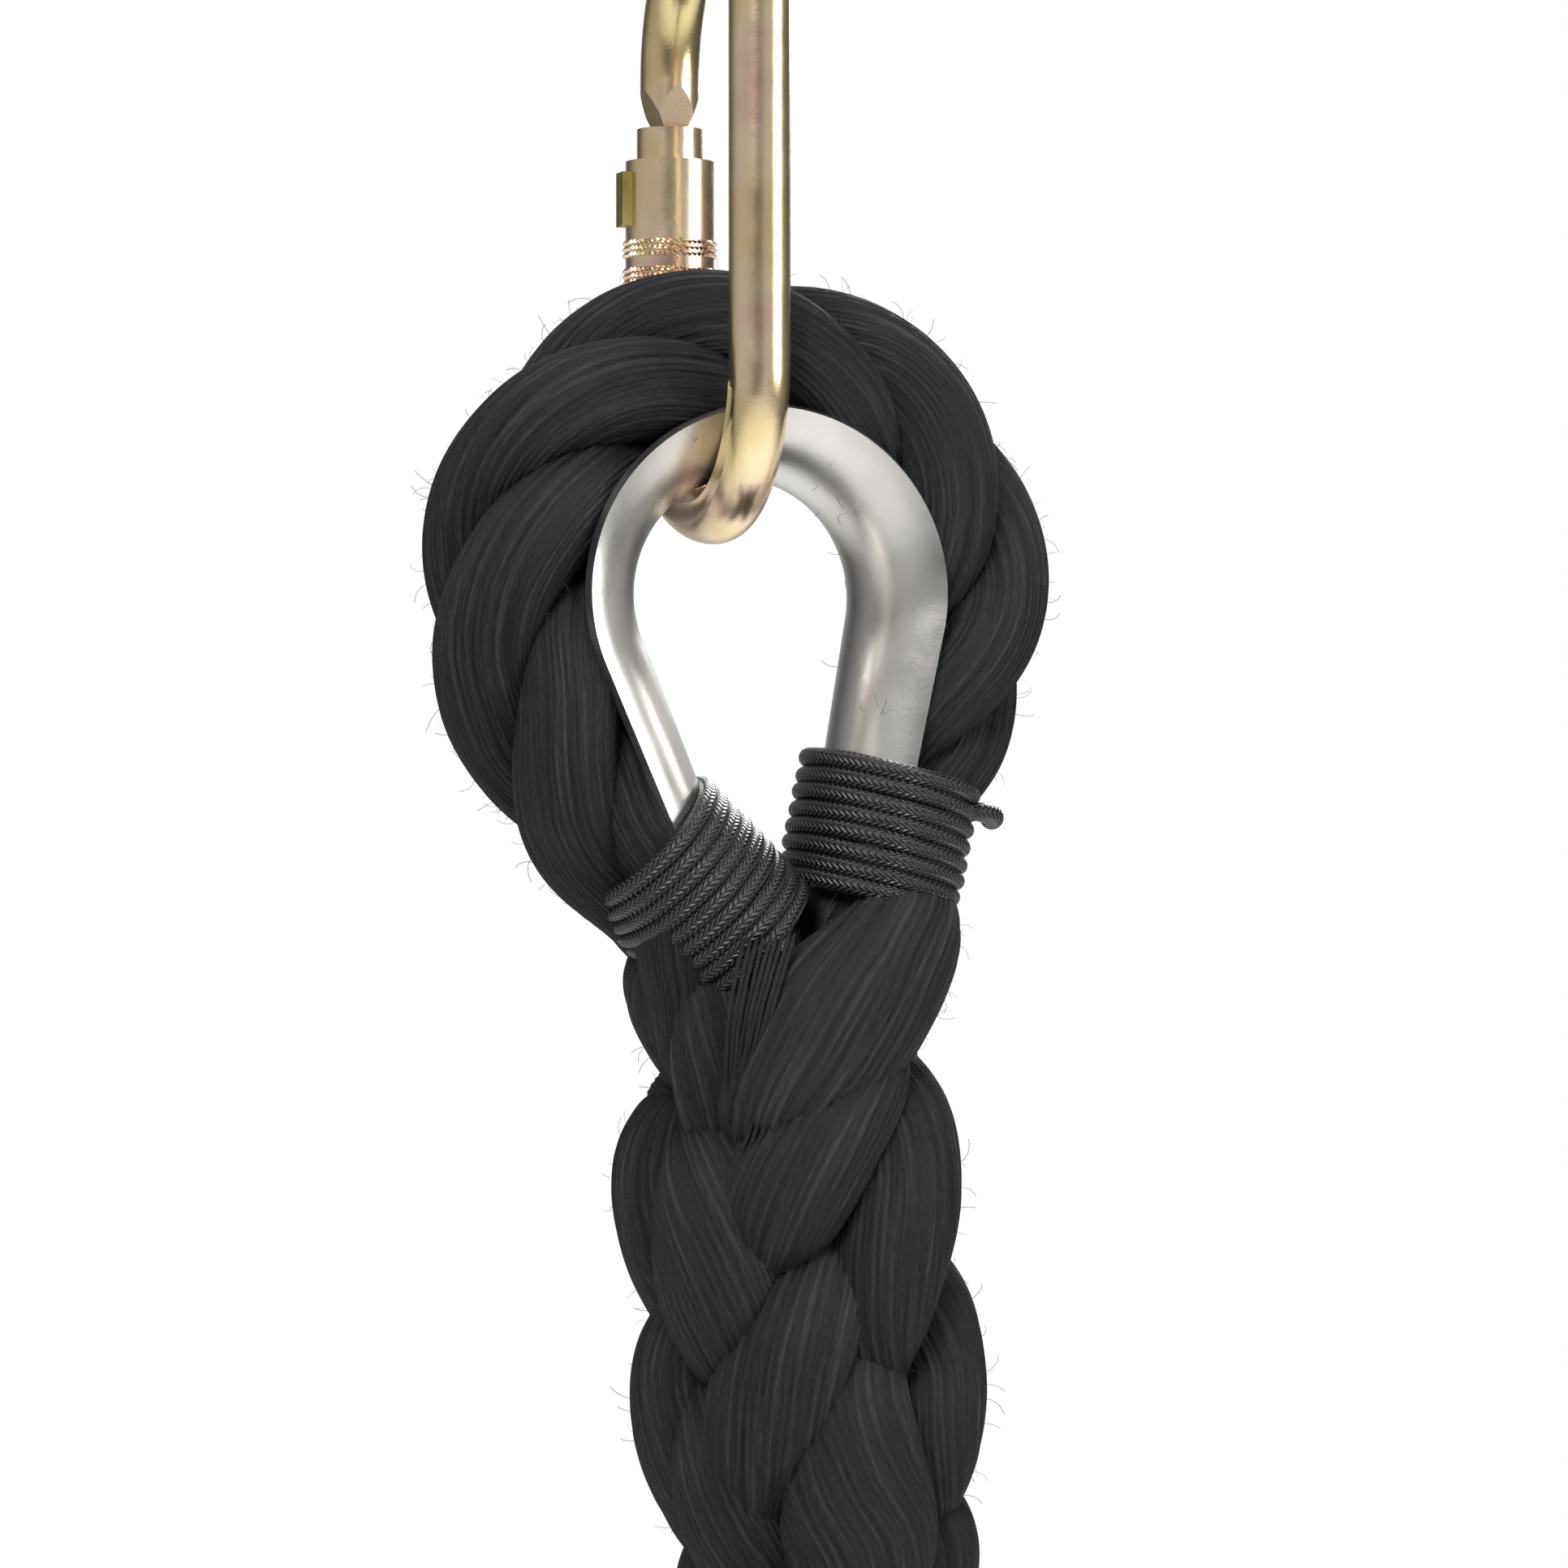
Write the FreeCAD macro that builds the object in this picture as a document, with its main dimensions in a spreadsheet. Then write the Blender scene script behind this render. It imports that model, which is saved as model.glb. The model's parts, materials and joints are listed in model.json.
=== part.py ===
"""Spliced end of a 38 mm three-strand climbing rope: a locking steel carabiner,
a gutter thimble, two seizings, the eye splice and the coiled rest of the rope.

Frame: millimetres, +Z up. The origin is inside the carabiner's upper bow, where
the anchor bears. The thimble and the rope eye lie in the XZ plane, and the
carabiner lies in the YZ plane with its spine at -Y and its gate at +Y."""
import FreeCAD, Part
import math
import os
import Sketcher
from FreeCAD import Placement, Rotation, Vector

os.makedirs("parts", exist_ok=True)
doc = FreeCAD.newDocument("spliced_climbing_rope")

# ---------------------------------------------------------------- driving sizes
SIZES = {
    # carabiner bar
    "bar_diameter": 12.0,
    "inner_length": 108.0,
    "spine_offset": 28.0,
    "gate_offset": 32.0,
    "spine_shoulder_radius": 22.0,
    "nose_shoulder_radius": 30.0,
    "bow_rise_radius": 55.0,
    "bow_rise_angle": 25.0,
    "relief_width": 5.0,
    "relief_depth": 1.4,
    # nose and latch
    "nose_drop": 26.2,
    "chisel_length": 7.8,
    "neck_width": 5.0,
    "neck_depth": 8.4,
    "blade_width": 4.6,
    "blade_length": 5.6,
    "latch_pin_diameter": 2.4,
    "latch_play": 0.3,
    # gate and hinge
    "hinge_height": 21.0,
    "hinge_pin_diameter": 4.0,
    "tang_radius": 5.5,
    "tang_width": 5.0,
    "hinge_gap": 0.6,
    "side_gap": 0.3,
    "gate_diameter": 11.6,
    "pin_fit": 0.05,
    # locking sleeve
    "collar_diameter": 13.4,
    "collar_length": 6.4,
    "sleeve_diameter": 18.0,
    "sleeve_length": 30.0,
    "sleeve_fit": 0.06,
    "sleeve_land": 5.0,
    "sleeve_cavity_diameter": 15.4,
    "end_play": 0.2,
    "ring_diameter": 15.0,
    "ring_length": 2.0,
    "tab_width": 4.6,
    "tab_height": 11.0,
    "tab_proud": 1.7,
    "tab_top_gap": 2.4,
    "guide_pin_diameter": 2.4,
    "guide_pin_proud": 1.4,
    "sleeve_wire": 1.0,
    "sleeve_coils": 6.0,
    "plunger_diameter": 4.4,
    "plunger_fit": 0.06,
    "plunger_length": 7.0,
    "plunger_gap": 0.2,
    "spring_bore_length": 30.0,
    "gate_wire": 0.8,
    "gate_coils": 8.0,
    # rope and thimble
    "rope_diameter": 37.8,
    "thimble_hole_radius": 23.2,
    "thimble_back_radius": 21.2,
    "thimble_wall": 2.2,
    "thimble_half_angle": 68.0,
    "thimble_leg_angle": 16.0,
    "thimble_leg_length": 51.6,
    "thimble_tip_drop": 71.0,
    "gutter_middle_radius": 18.8,
    "gutter_middle_turn": 4.0,
    "gutter_tip_radius": 16.9,
    "gutter_tip_half_angle": 45.0,
    "gutter_tip_tilt": 30.0,
    "gutter_tip_offset": 0.4,
    "weld_radius": 1.7,
    "weld_length": 16.0,
    "weld_drop": 0.6,
    "rope_play": 0.1,
    "seat_offset": 5.2,
    "seat_play": 0.1,
    "eye_lean": 6.5,
    "rope_leg_angle": 22.0,
    "seizing_cord": 3.45,
    "seizing_half_across": 15.8,
    "seizing_half_thick": 20.2,
    "right_turns": 8.0,
    "left_turns": 8.0,
    "splice_start": 88.0,
    "splice_end": 200.0,
    "splice_diameter": 63.0,
    "splice_waist": 52.0,
    "splice_foot": 54.0,
    # coil of the spare rope
    "coil_radius": 209.0,
    "coil_start_angle": 35.0,
    "coil_end_angle": 331.0,
    "front_turn_end": 357.0,
    "rear_turn_start": 3.0,
    "layer_play": 0.1,
    "tie_right_angle": 75.0,
    "tie_bottom_angle": 180.0,
    "tie_left_angle": 285.0,
    "cap_stand_off": 0.8,
    "cap_rounding": 4.0,
    "tie_width": 25.0,
    "tie_thickness": 2.5,
    "cap_diameter": 39.0,
    "cap_length": 55.0,
}

sheet = doc.addObject("Spreadsheet::Sheet", "Sizes")
for row, (alias, value) in enumerate(SIZES.items(), start=1):
    sheet.set(f"A{row}", alias)
    sheet.set(f"B{row}", str(value))
    sheet.setAlias(f"B{row}", alias)
doc.recompute()


def size(alias):
    """The value of one named size, read back from the sheet."""
    return float(sheet.get(alias))


NODES = []


def keep(item, label):
    """Names a finished sub-part and lists it for export."""
    item.Label = label
    NODES.append(item)
    return item


def bind(item, **expressions):
    """Binds an object's properties to the sheet; a double underscore stands for a dot."""
    for name, expression in expressions.items():
        item.setExpression(name.replace("__", "."), expression)
    return item


def place(item, x="0", y="0", z="0"):
    """Binds an object's position to the sheet."""
    return bind(item, Placement__Base__x=x, Placement__Base__y=y, Placement__Base__z=z)


def rod(name, radius, height, x="0", y="0", z="0", along="z"):
    """A cylinder that starts at the given place and runs along one axis."""
    item = doc.addObject("Part::Cylinder", name)
    turn = {"z": Rotation(), "x": Rotation(Vector(0, 1, 0), 90)}[along]
    item.Placement = Placement(Vector(), turn)
    bind(item, Radius=radius, Height=height)
    return place(item, x, y, z)


def block(name, length, width, height, x, y, z):
    """A box from its lowest corner."""
    item = doc.addObject("Part::Box", name)
    bind(item, Length=length, Width=width, Height=height)
    return place(item, x, y, z)


def cut(name, base, *tools):
    """Takes each tool away from the base in turn."""
    for index, tool in enumerate(tools):
        step = doc.addObject("Part::Cut", f"{name}_cut_{index}")
        step.Base = base
        step.Tool = tool
        base = step
    return base


def fuse(name, *shapes):
    """Joins the shapes into one."""
    item = doc.addObject("Part::MultiFuse", name)
    item.Shapes = list(shapes)
    return item


def feature(name, shape, position=None):
    """A shape made with Part's own functions, placed after it is set."""
    item = doc.addObject("Part::Feature", name)
    item.Shape = shape
    item.Placement = position or Placement()
    return item


# ------------------------------------------------- places shared by several pieces
SEAT_Z = "(-Sizes.inner_length - Sizes.bar_diameter / 2)"
HINGE_Z = f"({SEAT_Z} + Sizes.hinge_height)"
NECK_Z = "(-Sizes.nose_drop - Sizes.chisel_length)"
COLLAR_TOP = f"({NECK_Z} - Sizes.side_gap)"
SLEEVE_TOP = f"({COLLAR_TOP} - Sizes.collar_length - Sizes.end_play)"
SLEEVE_FOOT = f"({SLEEVE_TOP} - Sizes.sleeve_length)"
LATCH_Z = f"({NECK_Z} - Sizes.blade_length / 2 + Sizes.side_gap)"
GATE_Y = "Sizes.gate_offset"

bar_radius = size("bar_diameter") / 2
spine_y = -size("spine_offset")
gate_y = size("gate_offset")
seat_z = -size("inner_length") - bar_radius
hinge_z = seat_z + size("hinge_height")
neck_z = -size("nose_drop") - size("chisel_length")


# ------------------------------------------------------------------- carabiner
def bar_arc(centre_y, centre_z, radius, first, last, x=0.0):
    """An arc in a plane of constant X, between two angles measured from +Y."""
    angles = [first, (first + last) / 2, last]
    points = []
    for angle in angles:
        turn = math.radians(angle)
        points.append(Vector(x, centre_y + radius * math.cos(turn), centre_z + radius * math.sin(turn)))
    return Part.Arc(*points).toShape()


def bow_arcs(x=0.0, first=180.0):
    """The lower bow's two arcs: under the spine, then the slow rise to the gate side."""
    seat_radius = size("spine_offset")
    rise = size("bow_rise_radius")
    angle = size("bow_rise_angle")
    return [
        bar_arc(0, seat_z + seat_radius, seat_radius, first, 270, x),
        bar_arc(0, seat_z + rise, rise, 270, 270 + angle, x),
    ]


def make_carabiner_body():
    """One bent and forged bar: nose, top bow, spine, lower bow and hinge tang."""
    top_z = bar_radius
    nose_r = size("nose_shoulder_radius")
    spine_r = size("spine_shoulder_radius")
    rise = size("bow_rise_radius")
    angle = math.radians(size("bow_rise_angle"))
    corner = (gate_y - rise * math.sin(angle)) / (1 - math.sin(angle))
    corner_y = gate_y - corner
    corner_z = seat_z + rise * (1 - math.cos(angle)) + corner * math.cos(angle)
    nose_end = Vector(0, gate_y, -size("nose_drop"))
    edges = [
        Part.LineSegment(nose_end, Vector(0, gate_y, top_z - nose_r)).toShape(),
        bar_arc(gate_y - nose_r, top_z - nose_r, nose_r, 0, 90),
        Part.LineSegment(Vector(0, gate_y - nose_r, top_z), Vector(0, spine_y + spine_r, top_z)).toShape(),
        bar_arc(spine_y + spine_r, top_z - spine_r, spine_r, 90, 180),
        Part.LineSegment(Vector(0, spine_y, top_z - spine_r), Vector(0, spine_y, seat_z - spine_y)).toShape(),
        *bow_arcs(),
        bar_arc(corner_y, corner_z, corner, 270 + size("bow_rise_angle"), 360),
        Part.LineSegment(Vector(0, gate_y, corner_z), Vector(0, gate_y, hinge_z)).toShape(),
    ]
    profile = Part.Wire(Part.makeCircle(bar_radius, nose_end, Vector(0, 0, 1)))
    bar = Part.Wire(edges).makePipeShell([profile], True, False)

    # forged relief along both sides of the lower bow
    half = size("relief_width") / 2
    depth = size("relief_depth")
    relief_r = (half ** 2 + depth ** 2) / (2 * depth)
    for side in (-1, 1):
        x = side * (bar_radius - depth + relief_r)
        first, second = bow_arcs(x, first=192)
        path = Part.Wire([first, second])
        start = first.valueAt(first.FirstParameter)
        end = second.valueAt(second.LastParameter)
        ring = Part.Wire(Part.makeCircle(relief_r, start, first.tangentAt(first.FirstParameter)))
        bar = bar.cut(path.makePipeShell([ring], True, False))
        bar = bar.cut(Part.makeSphere(relief_r, start))
        bar = bar.cut(Part.makeSphere(relief_r, end))
    forged = feature("forged_bar", bar)

    # chisel-shaped nose: flats close in on the bar's two sides and its two edges
    drop = -size("nose_drop")
    neck_x = size("neck_width") / 2
    neck_y = size("neck_depth") / 2
    stock = Part.makeCylinder(bar_radius, drop - neck_z, Vector(0, gate_y, neck_z))
    flat_x = Part.makePolygon([
        Vector(-neck_x, 0, neck_z), Vector(neck_x, 0, neck_z), Vector(bar_radius, 0, drop),
        Vector(-bar_radius, 0, drop), Vector(-neck_x, 0, neck_z)])
    flat_y = Part.makePolygon([
        Vector(0, gate_y - neck_y, neck_z), Vector(0, gate_y + neck_y, neck_z),
        Vector(0, gate_y + bar_radius, drop), Vector(0, gate_y - bar_radius, drop),
        Vector(0, gate_y - neck_y, neck_z)])
    wedge_x = Part.Face(flat_x).extrude(Vector(0, 2 * gate_y, 0))
    wedge_y = Part.Face(flat_y).extrude(Vector(2 * bar_radius, 0, 0))
    wedge_y.translate(Vector(-bar_radius, 0, 0))
    chisel = feature("nose_chisel", stock.common(wedge_x).common(wedge_y))

    blade = block(
        "nose_blade", "Sizes.blade_width", "Sizes.neck_depth - 0.4", "Sizes.blade_length",
        "-Sizes.blade_width / 2", f"{GATE_Y} - Sizes.neck_depth / 2 + 0.2", f"{NECK_Z} - Sizes.blade_length")
    notch = block(
        "latch_notch", "Sizes.bar_diameter",
        "Sizes.neck_depth / 2 + Sizes.latch_pin_diameter / 2 + Sizes.latch_play",
        "Sizes.latch_pin_diameter + 2 * Sizes.latch_play",
        "-Sizes.bar_diameter / 2", f"{GATE_Y} - Sizes.neck_depth / 2",
        f"{LATCH_Z} - Sizes.latch_pin_diameter / 2 - Sizes.latch_play")
    hinge_room = rod(
        "hinge_room", "Sizes.gate_diameter / 2 + Sizes.hinge_gap", "2 * Sizes.bar_diameter",
        "-Sizes.bar_diameter", GATE_Y, HINGE_Z, along="x")
    trimmed = cut("hinge_end", forged, hinge_room)
    eye = rod(
        "tang_eye", "Sizes.tang_radius", "Sizes.tang_width", "-Sizes.tang_width / 2", GATE_Y, HINGE_Z,
        along="x")
    root = block(
        "tang_root", "Sizes.tang_width", "2 * Sizes.tang_radius - 1", "Sizes.gate_diameter / 2 + 2",
        "-Sizes.tang_width / 2", f"{GATE_Y} - Sizes.tang_radius + 0.5",
        f"{HINGE_Z} - Sizes.gate_diameter / 2 - 2")
    hole = rod(
        "tang_hole", "Sizes.hinge_pin_diameter / 2", "2 * Sizes.tang_width",
        "-Sizes.tang_width", GATE_Y, HINGE_Z, along="x")
    whole = fuse("bar_with_tang", trimmed, chisel, blade, eye, root)
    keep(cut("carabiner_body", whole, notch, hole), "carabiner_body")


def make_hinge_pin():
    """The rivet that the gate turns on, fixed in the bar's tang."""
    pin = rod(
        "hinge_pin_shank", "Sizes.hinge_pin_diameter / 2", "Sizes.gate_diameter",
        "-Sizes.gate_diameter / 2", GATE_Y, HINGE_Z, along="x")
    keep(pin, "gate_hinge_pin")


def make_gate():
    """The gate arm: a rod with a fork below, a latch slot above and a bore for its spring."""
    shaft = rod("gate_shaft", "Sizes.gate_diameter / 2", f"{COLLAR_TOP} - {HINGE_Z}", y=GATE_Y, z=HINGE_Z)
    foot = doc.addObject("Part::Sphere", "gate_foot")
    bind(foot, Radius="Sizes.gate_diameter / 2")
    place(foot, "0", GATE_Y, HINGE_Z)
    fork = block(
        "fork_slot", "Sizes.tang_width + 2 * Sizes.side_gap", "2 * Sizes.gate_diameter",
        "Sizes.gate_diameter + Sizes.tang_radius / 2 - 1",
        "-Sizes.tang_width / 2 - Sizes.side_gap", f"{GATE_Y} - Sizes.gate_diameter",
        f"{HINGE_Z} - Sizes.gate_diameter / 2 - 1")
    pin_hole = rod(
        "fork_hole", "Sizes.hinge_pin_diameter / 2 + Sizes.pin_fit", "2 * Sizes.gate_diameter",
        "-Sizes.gate_diameter", GATE_Y, HINGE_Z, along="x")
    slot = block(
        "latch_slot", "Sizes.blade_width + 2 * Sizes.side_gap", "Sizes.neck_depth / 2 + Sizes.gate_diameter",
        "Sizes.blade_length + 3 * Sizes.side_gap",
        "-Sizes.blade_width / 2 - Sizes.side_gap", f"{GATE_Y} - Sizes.neck_depth / 2",
        f"{NECK_Z} - Sizes.blade_length - 3 * Sizes.side_gap")
    latch_hole = rod(
        "latch_hole", "Sizes.latch_pin_diameter / 2", "2 * Sizes.gate_diameter",
        "-Sizes.gate_diameter", GATE_Y, LATCH_Z, along="x")
    bore = rod(
        "plunger_bore", "Sizes.plunger_diameter / 2 + Sizes.plunger_fit", "Sizes.spring_bore_length",
        y=GATE_Y, z=f"{HINGE_Z} + Sizes.tang_radius")
    guide_hole = rod(
        "guide_hole", "Sizes.guide_pin_diameter / 2", "Sizes.gate_diameter / 4",
        "-Sizes.gate_diameter / 2", GATE_Y, f"{SLEEVE_TOP} - Sizes.sleeve_land - 2", along="x")
    solid = fuse("gate_rod", shaft, foot)
    keep(cut("gate_arm", solid, fork, pin_hole, slot, latch_hole, bore, guide_hole), "gate_arm")

    pin = rod(
        "latch_pin_shank", "Sizes.latch_pin_diameter / 2", "Sizes.gate_diameter - 2 * Sizes.side_gap",
        "-Sizes.gate_diameter / 2 + Sizes.side_gap", GATE_Y, LATCH_Z, along="x")
    keep(pin, "gate_latch_pin")

    outer = rod("collar_outer", "Sizes.collar_diameter / 2", "Sizes.collar_length",
                y=GATE_Y, z=f"{COLLAR_TOP} - Sizes.collar_length")
    inner = rod("collar_bore", "Sizes.gate_diameter / 2", "2 * Sizes.collar_length",
                y=GATE_Y, z=f"{COLLAR_TOP} - 1.5 * Sizes.collar_length")
    gap = block(
        "collar_gap", "Sizes.blade_width + 2 * Sizes.side_gap", "Sizes.collar_diameter",
        "2 * Sizes.collar_length", "-Sizes.blade_width / 2 - Sizes.side_gap", GATE_Y,
        f"{COLLAR_TOP} - 1.5 * Sizes.collar_length")
    keep(cut("sleeve_collar", outer, inner, gap), "sleeve_collar")

    guide = rod(
        "guide_pin_shank", "Sizes.guide_pin_diameter / 2", "Sizes.gate_diameter / 4 + Sizes.guide_pin_proud",
        "-Sizes.gate_diameter / 2 - Sizes.guide_pin_proud", GATE_Y,
        f"{SLEEVE_TOP} - Sizes.sleeve_land - 2", along="x")
    keep(guide, "sleeve_guide_pin")

    ring_z = f"{SLEEVE_FOOT} - Sizes.end_play - Sizes.ring_length"
    ring = rod("ring_outer", "Sizes.ring_diameter / 2", "Sizes.ring_length", y=GATE_Y, z=ring_z)
    ring_bore = rod("ring_bore", "Sizes.gate_diameter / 2", "3 * Sizes.ring_length",
                    y=GATE_Y, z=f"{ring_z} - Sizes.ring_length")
    keep(cut("sleeve_retaining_ring", ring, ring_bore), "sleeve_retaining_ring")

    plunger = rod("plunger_rod", "Sizes.plunger_diameter / 2", "Sizes.plunger_length",
                  y=GATE_Y, z=f"{HINGE_Z} + Sizes.tang_radius + Sizes.plunger_gap")
    keep(plunger, "gate_plunger")


def coil_spring(mean_radius, wire, coils, low_z, high_z):
    """A compression spring on the gate's axis, drawn as its separate turns."""
    count = int(coils)
    pitch = (high_z - low_z - wire) / (count - 1)
    rings = [Part.makeTorus(mean_radius, wire / 2, Vector(0, 0, index * pitch)) for index in range(count)]
    return Part.makeCompound(rings), Placement(Vector(0, gate_y, low_z + wire / 2), Rotation())


def make_springs():
    """The sleeve's return spring in its cavity, and the gate's spring above its plunger."""
    top = neck_z - size("side_gap") - size("collar_length") - size("end_play")
    foot = top - size("sleeve_length")
    land = size("sleeve_land")
    room = size("sleeve_cavity_diameter") / 2 - size("gate_diameter") / 2
    mean = size("gate_diameter") / 2 + room / 2
    guide_z = top - land - 2
    high = guide_z - size("guide_pin_diameter")
    wire = size("sleeve_wire")
    shape, seat = coil_spring(mean, wire, size("sleeve_coils"), foot + land + wire / 4, high)
    keep(feature("sleeve_return_spring", shape, seat), "sleeve_spring")
    low = hinge_z + size("tang_radius") + size("plunger_gap") + size("plunger_length")
    mean = (size("plunger_diameter") - size("gate_wire")) / 2 - size("plunger_fit")
    wire = size("gate_wire")
    top_of_bore = hinge_z + size("tang_radius") + size("spring_bore_length")
    shape, seat = coil_spring(mean, wire, size("gate_coils"), low + wire / 4, top_of_bore - wire / 4)
    keep(feature("gate_return_spring", shape, seat), "gate_spring")


def make_sleeve():
    """The twist sleeve, turned in one piece, and the release tab that stands out of it."""
    body = doc.addObject("PartDesign::Body", "sleeve_turning")
    planes = {item.Role: item for item in body.Origin.OriginFeatures}
    sketch = body.newObject("Sketcher::SketchObject", "sleeve_outline")
    sketch.AttachmentSupport = (planes["XZ_Plane"], [""])
    sketch.MapMode = "FlatFace"
    bore = "Sizes.gate_diameter / 2 + Sizes.sleeve_fit"
    rim = "Sizes.sleeve_diameter / 2"
    cavity = "Sizes.sleeve_cavity_diameter / 2"
    land = "Sizes.sleeve_land"
    full = "Sizes.sleeve_length"
    outline = [
        (bore, "0.001"), (rim, "0.001"), (rim, full), (bore, full), (bore, f"{full} - {land}"),
        (cavity, f"{full} - {land}"), (cavity, land), (bore, land)]
    draw_outline(sketch, outline)
    turned = body.newObject("PartDesign::Revolution", "sleeve_turned")
    turned.Profile = sketch
    turned.ReferenceAxis = (sketch, ["V_Axis"])
    turned.Angle = 360
    body.Tip = turned
    place(body, "0", GATE_Y, SLEEVE_FOOT)
    keep(body, "lock_sleeve")

    reach = "Sizes.sleeve_diameter / 2 + Sizes.tab_proud"
    slab = block(
        "tab_slab", reach, "Sizes.tab_width", "Sizes.tab_height",
        f"-({reach})", f"{GATE_Y} - Sizes.tab_width / 2",
        f"{SLEEVE_TOP} - Sizes.tab_top_gap - Sizes.tab_height")
    core = rod("tab_seat", "Sizes.sleeve_diameter / 2", "Sizes.sleeve_length", y=GATE_Y, z=SLEEVE_FOOT)
    keep(cut("lock_tab", slab, core), "lock_tab")


def draw_outline(sketch, outline):
    """Closes an outline in a sketch and ties every corner to the sheet."""
    corners = []
    for across, up in outline:
        corners.append(Vector(number(across), number(up), 0))
    for index, corner in enumerate(corners):
        following = corners[(index + 1) % len(corners)]
        sketch.addGeometry(Part.LineSegment(corner, following), False)
    for index in range(len(corners)):
        following = (index + 1) % len(corners)
        sketch.addConstraint(Sketcher.Constraint("Coincident", index, 2, following, 1))
    for index, (across, up) in enumerate(outline):
        for kind, expression in (("DistanceX", across), ("DistanceY", up)):
            row = sketch.addConstraint(Sketcher.Constraint(kind, -1, 1, index, 1, number(expression)))
            sketch.setExpression(f"Constraints[{row}]", expression)


def number(expression):
    """The present value of a sheet expression."""
    value = sheet.evalExpression(expression)
    return float(getattr(value, "Value", value))


# ------------------------------------------------------------ the eye's own frame
# The hole's centre sits a little to one side of the bar, and the eye's axis leans.
# In this frame u runs across the eye, v runs down it from the hole's centre.
hole_radius = size("thimble_hole_radius")
reach = hole_radius - bar_radius - size("seat_play")
hole_centre = Vector(size("seat_offset"), 0, seat_z - math.sqrt(reach ** 2 - size("seat_offset") ** 2))
eye_frame = Placement(hole_centre, Rotation(Vector(0, 1, 0), -size("eye_lean")))
rope_radius = size("rope_diameter") / 2
loop_radius = hole_radius + size("thimble_wall") + size("rope_play") + rope_radius


def local(u, y, v):
    """A point of the eye's frame."""
    return Vector(u, y, -v)


def in_place(shape):
    """The shape carried from the eye's frame to where it really is."""
    moved = shape.copy()
    moved.Placement = eye_frame.multiply(shape.Placement)
    return moved


def gutter_section(apex_u, apex_v, tilt, back_radius, half_angle):
    """The thimble's channel section, open outwards, as a closed wire."""
    turn = math.radians(tilt)
    outward = local(math.cos(turn), 0, math.sin(turn))
    centre = local(apex_u, 0, apex_v) + outward * back_radius
    across = Vector(0, 1, 0)

    def rim(radius, angle):
        bend = math.radians(angle)
        return centre - outward * (radius * math.cos(bend)) + across * (radius * math.sin(bend))

    inside = back_radius - size("thimble_wall")
    return Part.Wire([
        Part.Arc(rim(back_radius, -half_angle), rim(back_radius, 0), rim(back_radius, half_angle)).toShape(),
        Part.LineSegment(rim(back_radius, half_angle), rim(inside, half_angle)).toShape(),
        Part.Arc(rim(inside, half_angle), rim(inside, 0), rim(inside, -half_angle)).toShape(),
        Part.LineSegment(rim(inside, -half_angle), rim(back_radius, -half_angle)).toShape()])


def make_thimble():
    """The steel gutter: an arc over the bar and two legs that close to a welded point."""
    angle = size("thimble_leg_angle")
    turn = math.radians(angle)
    start_u = hole_radius * math.cos(turn)
    start_v = hole_radius * math.sin(turn)
    run = size("thimble_leg_length")
    start = gutter_section(start_u, start_v, angle, size("thimble_back_radius"), size("thimble_half_angle"))
    middle = gutter_section(
        start_u - run * math.sin(turn), start_v + run * math.cos(turn),
        angle + size("gutter_middle_turn"), size("gutter_middle_radius"), size("thimble_half_angle"))
    tip = gutter_section(
        size("gutter_tip_offset"), size("thimble_tip_drop"), size("gutter_tip_tilt"),
        size("gutter_tip_radius"), size("gutter_tip_half_angle"))
    arc = Part.Face(start).revolve(Vector(), Vector(0, -1, 0), 180 + 2 * angle)
    leg = Part.makeLoft([start, middle, tip], True, True)
    other = leg.mirror(Vector(), Vector(1, 0, 0))
    weld_seat = local(0, -size("weld_length") / 2, size("thimble_tip_drop") + size("weld_drop"))
    weld = Part.makeCylinder(size("weld_radius"), size("weld_length"), weld_seat, Vector(0, 1, 0))
    whole = in_place(arc.fuse([leg, other, weld]).removeSplitter())
    keep(feature("gutter_thimble", whole, whole.Placement), "thimble")
    return whole


def oval(u, v, tilt, half_across, half_thick):
    """An oval section of a leg: its half size across the eye and its half size along Y."""
    turn = math.radians(tilt)
    outward = local(math.cos(turn), 0, math.sin(turn))
    centre = local(u, 0, v)
    curve = Part.Ellipse(centre + Vector(0, half_thick, 0), centre + outward * half_across, centre)
    return Part.Wire(curve.toShape())


# each row: place across, place down, tilt, half size across, half size along Y
RIGHT_LEG = [(25.5, 49.0, 18.0, 13.6, 19.0), (21.0, 66.0, 17.0, 14.5, 19.5), (15.5, 88.0, 0.0, 14.2, 20.0)]
LEFT_LEG = [
    (-31.5, 40.0, 152.0, 17.0, 18.9), (-18.2, 58.0, 142.0, 13.4, 19.0), (-15.5, 88.0, 180.0, 14.2, 20.0)]


# each row: label, place across, place down, tilt, turns
SEIZINGS = [
    ("right_seizing", 25.0, 49.0, 18.5, "right_turns"), ("left_seizing", -18.0, 58.0, 145.0, "left_turns")]


CUT_LOOSENESS = (0.0, 0.001, 0.01, 0.03, 0.1)
CUT_LEFTOVER = 0.005


def largest(shape):
    """The main solid of a trimmed shape."""
    return max(shape.Solids, key=lambda solid: solid.Volume)


def trimmed(shape, *tools):
    """The shape less each tool, cut again more loosely while any of the tool is left in it."""
    for tool in tools:
        if shape.common(tool).Volume < CUT_LEFTOVER:
            continue
        for looseness in CUT_LOOSENESS:
            rest = largest(shape.cut([tool], looseness))
            left_in = rest.common(tool).Volume
            if rest.isValid() and left_in < CUT_LEFTOVER:
                break
        else:
            print("still shares", round(left_in, 2), "mm3 with a neighbour")
        shape = rest
    return shape


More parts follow.
